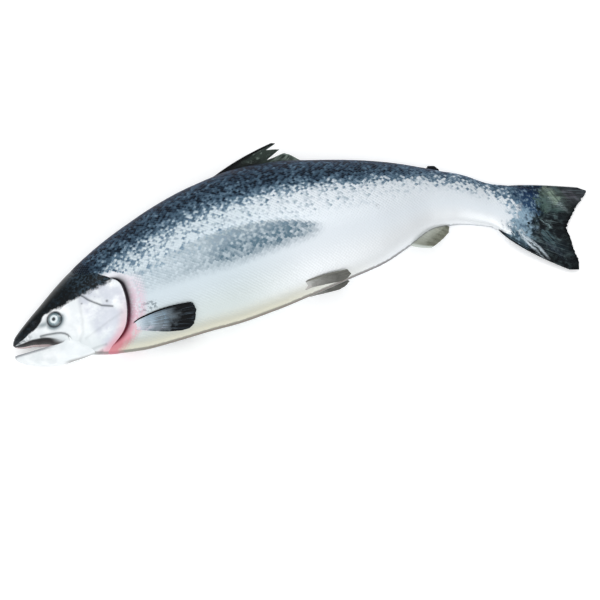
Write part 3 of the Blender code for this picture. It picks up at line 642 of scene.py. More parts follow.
def scale_shape():
    """One scale of unit size: a dome with a sunk rim, front toward -X."""
    turn = 2.0 * math.pi * np.arange(SCALE_SIDES) / SCALE_SIDES
    across = np.sin(turn) * (1.0 - 0.12 * np.cos(turn))
    along = np.cos(turn)
    rear = 0.5 * (1.0 + along)
    rim = np.stack([along, across, -0.35 - 0.45 * (1.0 - rear)], 1)
    reach = TOP_SHARE + REAR_BULGE * rear
    top = np.stack([along * reach, across * TOP_SHARE, 0.15 + 0.85 * rear], 1)
    points = np.concatenate([[[0.05, 0.0, 0.8]], top, rim])
    points[:, :2] *= 0.5
    n = SCALE_SIDES
    faces = [(0, 1 + i, 1 + (i + 1) % n) for i in range(n)]
    faces += [(1 + i, 1 + n + i, 1 + n + (i + 1) % n, 1 + (i + 1) % n) for i in range(n)]
    mesh = bpy.data.meshes.new("scale_shape")
    mesh.from_pydata(points, [], faces)
    rim_mark = np.concatenate([[0.0], np.full(n, 0.6), np.ones(n)])
    flat_reach = np.concatenate([[0.0], np.full(n, 0.35), np.full(n, 0.47)])
    flat_turn = np.concatenate([[0.0], turn, turn])
    spot = np.stack([0.5 + flat_reach * np.cos(flat_turn), 0.5 + flat_reach * np.sin(flat_turn),
                     0.0 * flat_turn], 1)
    set_marks(mesh, {"rim": rim_mark, "spot": spot})
    mesh.shade_smooth()
    return bpy.data.objects.new("scale_shape", mesh)


# %% [markdown]
# ### Setting the scales with Geometry Nodes
# The tree below takes the places, turns a copy of the shape to lie on the skin at each of them, with
# its front toward the head, and gives it a small tilt and size of its own. Each scale then gets
# its own cell on the flat map, so that no two share a spot there. The copies are made real, because
# only real faces can be exported.

# %% Helpers for node trees
def feed(tree, socket, value):
    """Links a socket or a signal, or sets a value."""
    value = getattr(value, "socket", value)
    if isinstance(value, bpy.types.NodeSocket):
        tree.links.new(value, socket)
    else:
        socket.default_value = value


def add_node(tree, kind, settings=(), **links):
    """New node with its settings and what feeds its inputs, by name or as i0, i1 by number."""
    node = tree.nodes.new(kind)
    for key, value in dict(settings).items():
        setattr(node, key, value)
    for key, value in links.items():
        index = int(key[1:]) if key[0] == "i" and key[1:].isdigit() else key.replace("_", " ")
        feed(tree, node.inputs[index], value)
    return node


def first_output(tree, kind, settings=(), **links):
    """First output of a new node."""
    return add_node(tree, kind, settings, **links).outputs[0]


def node_group(name, inputs):
    """New geometry tree with named inputs; returns the tree, a helper that adds a node, and the inputs."""
    tree = bpy.data.node_groups.new(name, "GeometryNodeTree")
    tree.interface.new_socket("Geometry", in_out="INPUT", socket_type="NodeSocketGeometry")
    for label, kind, value in inputs:
        socket = tree.interface.new_socket(label, in_out="INPUT", socket_type=kind)
        if value is not None:
            socket.default_value = value
    tree.interface.new_socket("Geometry", in_out="OUTPUT", socket_type="NodeSocketGeometry")

    return tree, partial(first_output, tree), add_node(tree, "NodeGroupInput").outputs


def run_nodes(obj, tree, values, name):
    """Runs a tree on an object and keeps the result as a plain mesh object of the given name."""
    modifier = obj.modifiers.new(name, "NODES")
    modifier.node_group = tree
    for item in tree.interface.items_tree:
        if item.item_type == "SOCKET" and item.in_out == "INPUT" and item.name in values:
            modifier[item.identifier] = values[item.name]
    bpy.context.view_layer.update()
    shape = obj.evaluated_get(bpy.context.evaluated_depsgraph_get())
    mesh = bpy.data.meshes.new_from_object(shape)
    mesh.name = name
    made = bpy.data.objects.new(name, mesh)
    bpy.context.scene.collection.objects.link(made)
    obj.modifiers.clear()
    bpy.data.objects.remove(obj)
    print(name, len(mesh.polygons), "faces")
    return made


def named(tree, name, kind="FLOAT"):
    """Output socket of a mark of the mesh."""
    node = add_node(tree, "GeometryNodeInputNamedAttribute", {"data_type": kind}, Name=name)
    return next(socket for socket in node.outputs if socket.enabled)


# %% The scale tree
def scale_tree():
    """Tree that sets a scale on every place."""
    tree, add, inputs = node_group("lay_scales", (
        ("Scale", "NodeSocketObject", None), ("Length", "NodeSocketFloat", 0.0059),
        ("Width", "NodeSocketFloat", 0.0052), ("Lift", "NodeSocketFloat", 0.00034),
        ("Tilt", "NodeSocketFloat", 0.04), ("Seed", "NodeSocketInt", 0),
        ("Finish", "NodeSocketMaterial", None)))
    vector = partial(named, tree, kind="FLOAT_VECTOR")
    shape = add_node(tree, "GeometryNodeObjectInfo", Object=inputs["Scale"]).outputs["Geometry"]
    upright = add("FunctionNodeAlignRotationToVector", {"axis": "Z"}, Vector=vector("outward"))
    facing = add("FunctionNodeAlignRotationToVector", {"axis": "X", "pivot_axis": "Z"}, Rotation=upright,
                 Vector=vector("along"))
    own_tilt = add("ShaderNodeMath", {"operation": "MULTIPLY"}, i0=inputs["Tilt"], i1=named(tree, "lift"))
    most = add("ShaderNodeCombineXYZ", X=own_tilt, Y=own_tilt, Z=inputs["Tilt"])
    least = add("ShaderNodeVectorMath", {"operation": "SCALE"}, i0=most, Scale=-1.0)
    tilt = add("FunctionNodeRandomValue", {"data_type": "FLOAT_VECTOR"}, i0=least, i1=most,
               Seed=inputs["Seed"])
    tilted = add("FunctionNodeEulerToRotation", Euler=tilt)
    turned = add("FunctionNodeRotateRotation", {"rotation_space": "LOCAL"}, Rotation=facing,
                 Rotate_By=tilted)
    lift = add("ShaderNodeMath", {"operation": "MULTIPLY"}, i0=inputs["Lift"], i1=named(tree, "lift"))
    size = add("ShaderNodeCombineXYZ", X=inputs["Length"], Y=inputs["Width"], Z=lift)
    own_size = add("ShaderNodeVectorMath", {"operation": "SCALE"}, i0=size, Scale=named(tree, "size"))
    laid = add("GeometryNodeInstanceOnPoints", Points=inputs["Geometry"], Instance=shape, Rotation=turned,
               Scale=own_size)
    real = add("GeometryNodeRealizeInstances", Geometry=laid)
    cell = add_node(tree, "ShaderNodeSeparateXYZ", Vector=vector("cell")).outputs
    spot = add("ShaderNodeVectorMath", {"operation": "SCALE"}, i0=vector("spot"), Scale=cell["Z"])
    corner = add("ShaderNodeCombineXYZ", X=cell["X"], Y=cell["Y"])
    place = add("ShaderNodeVectorMath", {"operation": "ADD"}, i0=spot, i1=corner)
    mapped = add("GeometryNodeStoreNamedAttribute", {"data_type": "FLOAT2", "domain": "CORNER"},
                 Geometry=real, Name="OFBake", Value=place)
    finish = add("GeometryNodeSetMaterial", Geometry=mapped, Material=inputs["Finish"])
    add_node(tree, "NodeGroupOutput", i0=finish)
    return tree


# %% [markdown]
# ## Finishes: a small palette of helpers
# Fish skin is a clear wet coat over silver, over dark pigment. Every finish below is built from the
# same few nodes: a mark read from the mesh, a little noise, a soft step and a mix of two colours. A
# number inside a finish is kept as a signal, so that plain arithmetic on it adds the math nodes.
# Colours are given as they look on a screen and turned to the linear values of the shader.

# %% Palette helpers
def tint(colour):
    """Linear colour of a screen colour, three numbers from 0 to 255; other values stay as they are."""
    if not isinstance(colour, tuple) or len(colour) != 3:
        return colour
    shares = (c / 255.0 for c in colour)
    return tuple(((s + 0.055) / 1.055) ** 2.4 if s > 0.04 else s / 12.92 for s in shares) + (1.0,)


def arithmetic(operation, turned=False):
    """Method that adds one math node; turned swaps its two numbers."""
    def method(self, other):
        pair = (other, self) if turned else (self, other)
        return self.finish.math(operation, *pair)
    return method


class Signal:
    """A number inside a finish; arithmetic on it adds the nodes that work it out."""

    __add__ = arithmetic("ADD")
    __radd__ = arithmetic("ADD", turned=True)
    __sub__ = arithmetic("SUBTRACT")
    __rsub__ = arithmetic("SUBTRACT", turned=True)
    __mul__ = arithmetic("MULTIPLY")
    __truediv__ = arithmetic("DIVIDE")
    __pow__ = arithmetic("POWER")

    def __init__(self, finish, socket):
        self.finish = finish
        self.socket = socket

    def step(self, low, high):
        """Soft step from 0 at low to 1 at high."""
        node = self.finish.add("ShaderNodeMapRange", {"interpolation_type": "SMOOTHSTEP"}, Value=self,
                               From_Min=low, From_Max=high)
        return Signal(self.finish, node.outputs["Result"])


class Finish:
    """One material and short ways to add its nodes."""

    def __init__(self, name, roughness=0.35, metallic=0.0, coat=0.0, coat_roughness=0.1, gloss=0.5):
        self.material = bpy.data.materials.new(name)
        self.material.use_nodes = True
        self.tree = self.material.node_tree
        self.shader = self.tree.nodes["Principled BSDF"]
        for label, value in (("Roughness", roughness), ("Metallic", metallic),
                             ("Specular IOR Level", gloss), ("Coat Weight", coat),
                             ("Coat Roughness", coat_roughness)):
            self.shader.inputs[label].default_value = value

    def add(self, kind, settings=(), **links):
        """New node with its settings and what feeds its inputs."""
        return add_node(self.tree, kind, settings, **links)

    def mark(self, name):
        """A mark of the mesh, as a number."""
        return Signal(self, self.add("ShaderNodeAttribute", {"attribute_name": name}).outputs["Fac"])

    def place(self):
        """Place on the piece in metres."""
        return self.add("ShaderNodeTexCoord").outputs["Object"]

    def math(self, operation, a, b):
        """Arithmetic of two numbers."""
        return Signal(self, self.add("ShaderNodeMath", {"operation": operation}, i0=a, i1=b).outputs[0])

    def noise(self, size, detail=2.0):
        """Noise whose lumps are about this size in metres, around 0.5."""
        node = self.add("ShaderNodeTexNoise", Vector=self.place(), Scale=1.0 / size, Detail=detail,
                        Roughness=0.55)
        return Signal(self, node.outputs["Fac"])

    def patches(self, size, detail, low, high):
        """Soft-edged patches where the noise passes from low to high."""
        return self.noise(size, detail).step(low, high)

    def stir(self, size, detail, amount):
        """Noise around zero."""
        return (self.noise(size, detail) - 0.5) * amount

    def streaks(self, x, y, detail, z=0.0):
        """Noise drawn out into streaks by unequal coordinates."""
        place = self.add("ShaderNodeCombineXYZ", X=x, Y=y, Z=z).outputs[0]
        node = self.add("ShaderNodeTexNoise", Vector=place, Scale=1.0, Detail=detail)
        return Signal(self, node.outputs["Fac"])

    def dot(self, vector, way):
        """How far a vector reaches along a direction."""
        node = self.add("ShaderNodeVectorMath", {"operation": "DOT_PRODUCT"}, i0=vector, i1=way)
        return Signal(self, node.outputs["Value"])

    def blend(self, factor, first, second):
        """Mix of two colours."""
        node = self.add("ShaderNodeMix", {"data_type": "RGBA"}, i0=factor, i6=tint(first),
                        i7=tint(second))
        return node.outputs[2]

    def ramp(self, value, stops):
        """Colours along a value: (position, colour) pairs."""
        node = self.add("ShaderNodeValToRGB", Fac=value)
        elements = node.color_ramp.elements
        while len(elements) < len(stops):
            elements.new(0.5)
        for element, (position, colour) in zip(elements, stops):
            element.position = position
            element.color = tint(colour)
        return node.outputs["Color"]

    def bump(self, height, distance, strength):
        """Fine relief of the finish."""
        node = self.add("ShaderNodeBump", Height=height, Distance=distance, Strength=strength)
        self.tree.links.new(node.outputs[0], self.shader.inputs["Normal"])

    def colour(self, value):
        """Base colour of the finish."""
        feed(self.tree, self.shader.inputs["Base Color"], value)


# %% [markdown]
# ## The colours of the flank
# Skin and scales share one colouring. The mark that says how dark a place is gets pushed up or down
# by the tone of each scale, a number of its own, so the edge of the black back breaks up into single
# scales. A ramp then turns darkness into colour: silver, grey-blue, slate and blue-black.

# %% Flank colours shared by skin and scales
SILVER_FRONT = (205, 216, 222)
SILVER_REAR = (220, 226, 231)
# colour of the dusky band, part pigment and part painted reflection
DUSKY_AND_REFLECTION = (88, 112, 126)
BELLY_FRONT = (182, 190, 189)
BELLY_REAR = (220, 223, 225)
BELLY_CREAM = (204, 202, 184)
# painted shadow along the underside of belly, throat and jaw, where they meet the floor
KEEL_SHADOW = (92, 90, 84)
BACK_STOPS = ((0.1, (172, 187, 198)), (0.28, (142, 162, 176)), (0.42, (104, 128, 147)),
              (0.6, (74, 97, 115)), (0.8, (52, 71, 88)), (1.0, (14, 26, 38)))
EDGE_TINT = (120, 146, 176)     # what the metal of the skin reflects where it turns away
TAIL_START = (0.66, 0.043)  # plan place on the axis where the tail's colours are measured from
TAIL_WAY = (0.894, -0.447, 0.0)     # out along the tail
TAIL_SIDE = (0.447, 0.894, 0.0)     # across it, toward the upper lobe
TAIL_ROOT = ((-0.034, (64, 84, 94)), (-0.022, (128, 154, 170)), (-0.004, (146, 172, 190)),
             (0.006, (112, 140, 160)), (0.012, (40, 68, 98)), (0.028, (20, 44, 74)),
             (0.042, (10, 24, 42)))
TAIL_FAR = ((-0.06, (4, 7, 11)), (-0.045, (9, 16, 22)), (-0.03, (20, 34, 42)), (-0.014, (8, 16, 22)),
            (0.0, (2, 6, 11)), (0.012, (14, 26, 32)), (0.022, (70, 92, 90)), (0.036, (90, 106, 96)),
            (0.048, (50, 60, 58)), (0.062, (66, 68, 76)))
TAIL_TIP = (50, 52, 58)
# Mottling of the root (0) and the far half (1) of the tail: noise, strength and colour
TAIL_MOTTLES = ((0, (0.006, 3.0, 0.48, 0.66), 0.62, (44, 66, 88)),
                (0, (0.0048, 3.0, 0.5, 0.34), 0.55, (150, 176, 194)),
                (1, (0.008, 3.0, 0.46, 0.68), 0.6, (86, 104, 106)),
                (1, (0.0065, 2.0, 0.5, 0.3), 0.75, (6, 12, 18)))
# Folds of the tail as painted light and shade, and its pale patches: place along and across,
# half length, half width, turn in degrees, colour and strength
TAIL_SPOTS = ((0.026, -0.0385, 0.025, 0.0052, -30.0, (194, 206, 214), 0.9),
              (0.043, -0.0225, 0.015, 0.0068, -35.0, (76, 100, 106), 0.8),
              (0.051, 0.0255, 0.017, 0.0044, -18.0, (138, 152, 154), 0.75),
              (0.037, -0.003, 0.0095, 0.0034, -25.0, (128, 148, 152), 0.7),
              (0.041, 0.035, 0.009, 0.006, -40.0, (136, 154, 140), 0.8),
              (0.029, 0.019, 0.008, 0.006, 0.0, (84, 106, 98), 0.7),
              (0.03, 0.045, 0.009, 0.004, -10.0, (128, 140, 128), 0.6),
              (0.062, 0.042, 0.012, 0.005, -20.0, (92, 90, 100), 0.6),
              (0.056, -0.038, 0.014, 0.004, -32.0, (54, 66, 78), 0.6))


def tail_spot(finish, colour, along, across, spot):
    """Adds one streaky patch to the colour of the tail."""
    centre, offset, length, width, degrees, shade, strength = spot
    cosine, sine = math.cos(math.radians(degrees)), math.sin(math.radians(degrees))
    a = along - centre
    b = across - offset
    u = a * cosine + b * sine
    v = b * cosine - a * sine
    far_u = (u / length) ** 2.0
    far_v = (v / width) ** 2.0
    inside = (far_u + far_v).step(1.5, 0.4)
    strands = finish.streaks(u * 36.0, v * 470.0, 2.0, degrees)
    factor = inside * strands.step(0.38, 0.58)
    return finish.blend(factor * strength, colour, shade)


def tail_colour(finish, stir):
    """Colours of the tail by place, and the place along it; trunk, scales and web share them."""
    start = (TAIL_START[0] - float(PLAN_SHIFT[0]), TAIL_START[1] - float(PLAN_SHIFT[1]), 0.0)
    offset = finish.add("ShaderNodeVectorMath", {"operation": "SUBTRACT"}, i0=finish.place(), i1=start)
    along, across = (finish.dot(offset.outputs[0], way) for way in (TAIL_WAY, TAIL_SIDE))
    lumps = finish.stir(0.011, 4.0, 0.04)
    stir = stir + lumps
    along = along + stir
    across = across - stir * 0.8
    shades = []
    for stops in (TAIL_ROOT, TAIL_FAR):
        low, high = stops[0][0], stops[-1][0]
        share = (across - low) / (high - low)
        stops = [((place - low) / (high - low), shade) for place, shade in stops]
        shades.append(finish.ramp(share, stops))
    for half, noise, strength, shade in TAIL_MOTTLES:
        shades[half] = finish.blend(finish.patches(*noise) * strength, shades[half], shade)
    tip = along.step(0.04, 0.062) * across.step(0.016, 0.034)
    shades[1] = finish.blend(tip * 0.8, shades[1], TAIL_TIP)
    colour = finish.blend(along.step(0.012, 0.026), *shades)
    for spot in TAIL_SPOTS:
        colour = tail_spot(finish, colour, along, across, spot)
    return colour, along


def flank_colour(finish, tone):
    """Colour of the trunk, scale by scale."""
    dark = finish.mark("dark")
    own = finish.math("SUBTRACT", tone, 0.5)
    clouds = finish.stir(0.016, 3.0, 0.8)
    fine = finish.stir(0.0055, 3.0, 1.1)
    stir = own * 0.66 + clouds + fine
    calm = 1.0 - dark.step(0.85, 1.2) * 0.05
    stirred = stir * calm * dark.step(0.0, 0.12)
    darkness = (dark + stirred) * 0.8
    dusk = finish.mark("dusk") * (0.8 + stir * 0.9)
    girth = finish.mark("girth")
    rear = finish.mark("rear")
    silver = finish.blend(rear, SILVER_FRONT, SILVER_REAR)
    flank = finish.blend(girth.step(0.62, 0.8), silver, finish.blend(rear, BELLY_FRONT, BELLY_REAR))
    flank = finish.blend(finish.mark("cream"), flank, BELLY_CREAM)
    # painted shadow along the edge of the belly
    flank = finish.blend(finish.mark("underside_shadow") * 0.7, flank, KEEL_SHADOW)
    # dusky band: part pigment, part painted reflection
    flank = finish.blend(dusk, flank, DUSKY_AND_REFLECTION)
    specks = finish.mark("specks") * finish.patches(0.0042, 2.0, 0.49, 0.6)
    flank = finish.blend(specks * 0.6, flank, (78, 92, 102))
    colour = finish.blend(darkness.step(0.02, 0.36), flank, finish.ramp(darkness, BACK_STOPS))
    tail, along = tail_colour(finish, own * 0.014)
    return finish.blend(along.step(-0.015, 0.002), colour, tail)


def rosy_skin(finish):
    """Pink of the skin behind the gill slit, deeper toward the throat."""
    return finish.ramp(finish.mark("girth"), ((0.42, (234, 234, 238)), (0.5, (234, 222, 230)),
                                              (0.6, (226, 194, 208)), (0.72, (218, 172, 186)),
                                              (0.85, (200, 112, 126))))


def scale_finish():
    """Wet silver scales over dark pigment."""
    finish = Finish("wet_scales", roughness=0.38, metallic=0.5, coat=0.08, coat_roughness=0.15, gloss=0.2)
    finish.shader.inputs["Specular Tint"].default_value = tint(EDGE_TINT)
    colour = flank_colour(finish, finish.mark("tone"))
    colour = finish.blend(finish.mark("shoulder") * 0.62, colour, rosy_skin(finish))
    edge = finish.mark("rim").step(0.58, 0.95)
    edge = edge * (0.3 - finish.mark("girth").step(0.45, 0.7) * 0.22)
    colour = finish.blend(edge, colour, (84, 104, 122))
    finish.colour(colour)
    finish.bump(finish.noise(0.0006), 0.0001, 0.5)
    return finish.material


def trunk_finish():
    """Skin between and below the scales, painted a little darker than they are as shade between them."""
    finish = Finish("trunk_skin", roughness=0.42, metallic=0.35, coat=0.08, coat_roughness=0.2, gloss=0.2)
    finish.shader.inputs["Specular Tint"].default_value = tint(EDGE_TINT)
    # a tone a little above the middle paints the shade between the scales
    colour = flank_colour(finish, 0.55)
    girth = finish.mark("girth")
    behind = finish.mark("behind")
    uneven = finish.stir(0.007, 3.0, 0.016)
    pink = (behind + uneven).step(0.023, 0.01) * girth.step(0.34, 0.42)
    rosy = rosy_skin(finish)
    flecks = finish.patches(0.003, 2.0, 0.5, 0.6) * girth.step(0.8, 0.62)
    rosy = finish.blend(flecks * 0.75, rosy, (236, 232, 238))
    colour = finish.blend(pink * 0.85, colour, rosy)
    # painted shade in the gill slit, turning to the red of the gills toward the throat
    slit = finish.ramp(girth, ((0.44, (14, 14, 20)), (0.58, (26, 12, 22)), (0.68, (84, 34, 56)),
                               (0.8, (136, 48, 62))))
    finish.colour(finish.blend(finish.mark("slit") * 0.97, colour, slit))
    finish.bump(finish.noise(0.0009), 0.00015, 0.5)
    return finish.material


# %% [markdown]
# ## Head
# The head has no scales: it is smooth, wet skin over bone, black on the crown and silver-white on the
# cheek, with a ragged edge between the two. Painted shade darkens the seams between the bones, the
# nostrils, the eye socket and the lower cheek, and a painted shadow runs along the underside. Near
# the mouth the skin is grey, the upper lip is near black, part pigment and part painted shadow of the
# open mouth, and the roof of the mouth is dusky pink.

# %% Head finish
CROWN_EDGE = ((0.0, 0.8), (0.003, 0.752), (0.0075, 0.685), (0.013, 0.668), (0.024, 0.596), (0.033, 0.562),
              (0.0365, 0.52), (0.0404, 0.468), (0.045, 0.418), (0.05, 0.39), (0.0605, 0.39),
              (0.067, 0.406), (0.078, 0.408), (0.09, 0.42), (0.103, 0.436), (0.115, 0.44), (0.125, 0.445),
              (0.16, 0.46))
# painted shade of the cheek, darker toward the underside of the head
PAINTED_CHEEK_SHADE = (196, 205, 207)


def pale_skin(finish):
    """White skin of the head with soft blue-grey blotches."""
    white = finish.blend(finish.patches(0.02, 3.0, 0.35, 0.75), (230, 234, 236), (250, 252, 253))
    blotches = finish.patches(0.012, 3.0, 0.54, 0.78)
    return finish.blend(blotches * 0.2, white, (176, 186, 196))


def head_finish():
    """Smooth wet skin of the head."""
    finish = Finish("head_skin", roughness=0.34, coat=0.1, coat_roughness=0.12, gloss=0.16)
    girth = finish.mark("girth")
    station = finish.mark("station")
    ragged = finish.stir(0.009, 4.0, 0.1)
    dark = (finish.mark("crown") + ragged).step(0.018, -0.016)
    pores = finish.patches(0.002, 2.0, 0.6, 0.72)
    sheen = finish.patches(0.0065, 3.0, 0.5, 0.68)
    black = finish.blend(sheen * 0.6, (3, 9, 13), (26, 40, 48))
    black = finish.blend(pores * 0.4, black, (52, 76, 88))
    nape = station.step(0.076, 0.104) * finish.patches(0.0034, 3.0, 0.44, 0.62)
    black = finish.blend(nape * 0.62, black, (60, 80, 94))
    white = pale_skin(finish)
    # painted shade: the cheek darkens toward the underside of the head
    white = finish.blend(girth.step(0.58, 0.8) * 0.45, white, PAINTED_CHEEK_SHADE)
    cover = station.step(0.082, 0.094) * finish.patches(0.016, 3.0, 0.3, 0.62)
    white = finish.blend(cover * 0.68, white, (190, 194, 207))
    rosy = finish.mark("behind").step(-0.016, -0.001) * girth.step(0.5, 0.85)
    white = finish.blend(rosy * 0.75, white, (214, 150, 162))
    white = finish.blend(finish.mark("orbit") * 0.85, white, (90, 110, 116))
    muzzle = station.step(0.032, 0.01) * girth.step(0.5, 0.6)
    muzzle = muzzle * finish.patches(0.0035, 3.0, 0.35, 0.65)
    white = finish.blend(muzzle * 0.65, white, (96, 104, 108))
    # painted shadow along the underside of the head
    white = finish.blend(finish.mark("underside_shadow") * 0.7, white, KEEL_SHADOW)
    colour = finish.blend(dark, white, black)
    # painted shade in the seams, nostrils and eye socket, with the dark dots of the face
    colour = finish.blend(finish.mark("seam"), colour, (42, 50, 58))
    # dark pigment of the upper lip, and painted shadow of the open mouth below it
    lips = station.step(0.052, 0.04) * girth.step(0.79, 0.84)
    colour = finish.blend(lips * 0.95, colour, (10, 12, 15))
    snout = station.step(0.013, 0.005) * finish.patches(0.003, 2.0, 0.25, 0.6)
    colour = finish.blend(snout * 0.8, colour, (44, 50, 54))
    # painted shade inside the gill slit
    colour = finish.blend(finish.mark("slit") * 0.95, colour, (40, 24, 34))
    finish.colour(colour)
    finish.bump(finish.noise(0.0012, 3.0), 0.00012, 0.5)
    return finish.material


def mouth_finish():
    """Dusky pink lining of the mouth."""
    finish = Finish("mouth_lining", roughness=0.3, coat=0.5)
    finish.colour(finish.blend(finish.noise(0.006, 3.0), (206, 176, 180), (234, 216, 214)))
    finish.bump(finish.noise(0.0015), 0.0002, 0.6)
    return finish.material


MOUTH_END = 0.046           # the lining of the mouth ends at this station,
MOUTH_GIRTH = 0.935         # starts at this girth share
MOUTH_TOP = 0.0004          # and stays below this height over the axis
TRUNK_FROM = 0.0012         # distance behind the gill edge where the finish of the trunk starts
crown_edge = smooth_curve(CROWN_EDGE)
mesh = body_skin.data
station_mark, girth_mark = get_mark(mesh, "station"), get_mark(mesh, "girth")
set_marks(mesh, {"crown": girth_mark - crown_edge(station_mark), **pattern(station_mark, girth_mark)})
for made in (head_finish(), trunk_finish(), mouth_finish()):
    mesh.materials.append(made)
first_point = np.array([face.vertices[0] for face in mesh.polygons])
height_mark = np.array([vertex.co.z for vertex in mesh.vertices]) - axis_height(station_mark)
in_mouth = (station_mark < MOUTH_END) & (girth_mark > MOUTH_GIRTH) & (height_mark < MOUTH_TOP)
look = np.where(in_mouth, 2, np.where(get_mark(mesh, "behind") > TRUNK_FROM, 1, 0))
mesh.polygons.foreach_set("material_index", look[first_point].astype(np.int32))
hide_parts("salmon")
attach(body_skin, "root")

# %% Lay the scales on both flanks
tree = scale_tree()
shape = scale_shape()
scales_material = scale_finish()
for side_name, side, seed in (("left", 1.0, 11), ("right", -1.0, 12)):
    rng = np.random.default_rng(seed)
    found = lattice(side, rng)
    for part_name, chosen in (("back", found[:, 2] <= 0), ("belly", found[:, 2] > 0)):
        name = f"scales_{part_name}_{side_name}"
        places = scale_places("places_" + name, found[chosen], rng)
        scales = run_nodes(places, tree, {"Scale": shape, "Seed": seed, "Finish": scales_material}, name)
        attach(scales, "root")
bpy.data.objects.remove(shape)

# %% [markdown]
# ## Lower jaw and tongue
# The mouth stands a little open. The lower jaw is a trough: outside it is silver-white skin, inside
# it is lined with pink, and its rim is a rounded lip.

# %% Lower jaw
JAW = ((-0.001, -0.0162, -0.0195, 0.0045), (0.003, -0.0166, -0.023, 0.008),
       (0.009, -0.0173, -0.0266, 0.0104), (0.018, -0.018, -0.0305, 0.013),
       (0.03, -0.0184, -0.0342, 0.0154), (0.042, -0.0188, -0.037, 0.017),
       (0.052, -0.019, -0.0384, 0.0178), (0.06, -0.018, -0.0384, 0.0178),
       (0.07, -0.0105, -0.0378, 0.0172), (0.08, -0.01, -0.037, 0.016), (0.09, -0.0125, -0.0358, 0.0134),
       (0.098, -0.018, -0.0342, 0.0095))
JAW_RINGS = 150
JAW_OUTER = 120
JAW_INNER = 34
JAW_TIP = (0.0006, 0.0, 0.0)    # how far each end is drawn out
JAW_CROWDING = 1.2          # the rings crowd toward the chin
LIP_THICKNESS = 0.0032
LIP_SHARE = 0.45            # but no more than this share of the half width
FLOOR_DEPTH = 0.3
CHEEK_BLEND = 0.0036        # height over which the rear of the jaw runs smoothly into the cheek
CHEEK_SPAN = (0.06, 0.102)  # stations between which it does so
CHEEK_DIP = 0.00004         # how far it then dips under the cheek
lip_line, keel_line, jaw_width = (smooth_curve([(row[0], row[k]) for row in JAW]) for k in (1, 2, 3))


def into_cheek(points):
    """Jaw points at the mouth's corner lifted so that their skin runs into the cheek without a crease."""
    corners = [vertex.co[:] for vertex in body_skin.data.vertices]
    cheek = BVHTree.FromPolygons(corners, [face.vertices[:] for face in body_skin.data.polygons])
    lifted = points.copy()
    start, end = CHEEK_SPAN
    for ring, station in enumerate(points[:, 0, 0]):
        reach = CHEEK_BLEND * float(ease((station - start) / 0.012) * ease((end - station) / 0.01))
        middle = float(axis_height(station))
        for k, (x, y, z) in enumerate(points[ring] if reach > 0.0 else ()):
            side = 1.0 if z > middle else -1.0
            above = Vector((x - PLAN_SHIFT[0], y - PLAN_SHIFT[1], middle + 0.2 * side))
            hit = cheek.ray_cast(above, Vector((0.0, 0.0, -side)))[0]
            if hit is None:
                continue
            below = (hit.z - z) * side
            if abs(below) < reach:
                rise = max(below, 0.0) + (reach - abs(below)) ** 2 / (4.0 * reach)
                lifted[ring, k, 2] = z + side * (rise - CHEEK_DIP * ease(0.5 + 0.5 * below / reach))
            elif below > 0.0:
                lifted[ring, k, 2] = z + side * (reach - CHEEK_DIP)
    lift = np.pad(lifted[..., 2] - points[..., 2], 2, mode="edge")
    rows, columns = points.shape[:2]
    shifted = (lift[i:i + rows, j:j + columns] for i in range(5) for j in range(5))
    lifted[..., 2] = points[..., 2] + sum(shifted) / 25.0
    return lifted


def jaw_skin():
    """Trough of the lower jaw, with its outer skin, rounded lips and lining."""
    share = np.linspace(0.0, 1.0, JAW_RINGS)[:, None] ** JAW_CROWDING
    x = JAW[0][0] + (JAW[-1][0] - JAW[0][0]) * share
    lip, depth, width = lip_line(x), lip_line(x) - keel_line(x), jaw_width(x)
    thick = np.minimum(LIP_THICKNESS, LIP_SHARE * width)
    outer = math.pi * np.arange(JAW_OUTER) / (JAW_OUTER - 1)
    down = np.maximum(np.sin(outer), 0.0) ** 0.85
    across = np.copysign(np.abs(np.cos(outer)) ** 0.9, np.cos(outer))
    middle = axis_height(x)
    skin_part = np.stack(np.broadcast_arrays(x, lip - depth * down, middle + width * across), -1)
    skin_part = into_cheek(skin_part)
    inner = math.pi * (np.arange(JAW_INNER) + 0.5) / JAW_INNER
    floor = thick * 0.25 + FLOOR_DEPTH * depth * np.sin(inner)
    lining = np.stack(np.broadcast_arrays(x, lip - floor, middle - (width - thick) * np.cos(inner)), -1)
    points = np.concatenate([skin_part, lining], axis=1)
    inside = np.concatenate([np.zeros(JAW_OUTER), np.ones(JAW_INNER)])
    marks = {"inside": np.broadcast_to(inside, points.shape[:2]), "lip": lip - points[..., 1],
             "station": points[..., 0]}
    tips = (points[0].mean(0) - JAW_TIP, points[-1].mean(0) + JAW_TIP)
    return closed_tube("lower_jaw", points, marks, tips)


def jaw_finish():
    """Silver-white skin of the lower jaw, grey along the lip, with painted shade and shadow at its rear.
    """
    finish = Finish("jaw_skin", roughness=0.34, coat=0.15, coat_roughness=0.12, gloss=0.25)
    white = finish.blend(finish.patches(0.016, 3.0, 0.35, 0.7), (214, 219, 221), (232, 235, 236))
    rear = finish.mark("station").step(0.042, 0.064)
    white = finish.blend(rear, white, pale_skin(finish))
    # the same painted shade as the lower cheek, where the jaw runs into it
    white = finish.blend(rear * 0.34, white, PAINTED_CHEEK_SHADE)
    lip = finish.mark("lip").step(0.004, 0.001) * finish.mark("station").step(0.056, 0.034)
    height = Signal(finish, finish.add("ShaderNodeSeparateXYZ", Vector=finish.place()).outputs["Z"])
    # painted shadow along the underside of the jaw's rear, where it meets the floor
    under = height.step(0.0395, 0.0325) * finish.mark("station").step(0.054, 0.066)
    white = finish.blend(under * 0.7, white, KEEL_SHADOW)
    finish.colour(finish.blend(lip * 0.72, white, (92, 96, 104)))
    finish.bump(finish.noise(0.0012, 3.0), 0.00012, 0.5)
    return finish.material


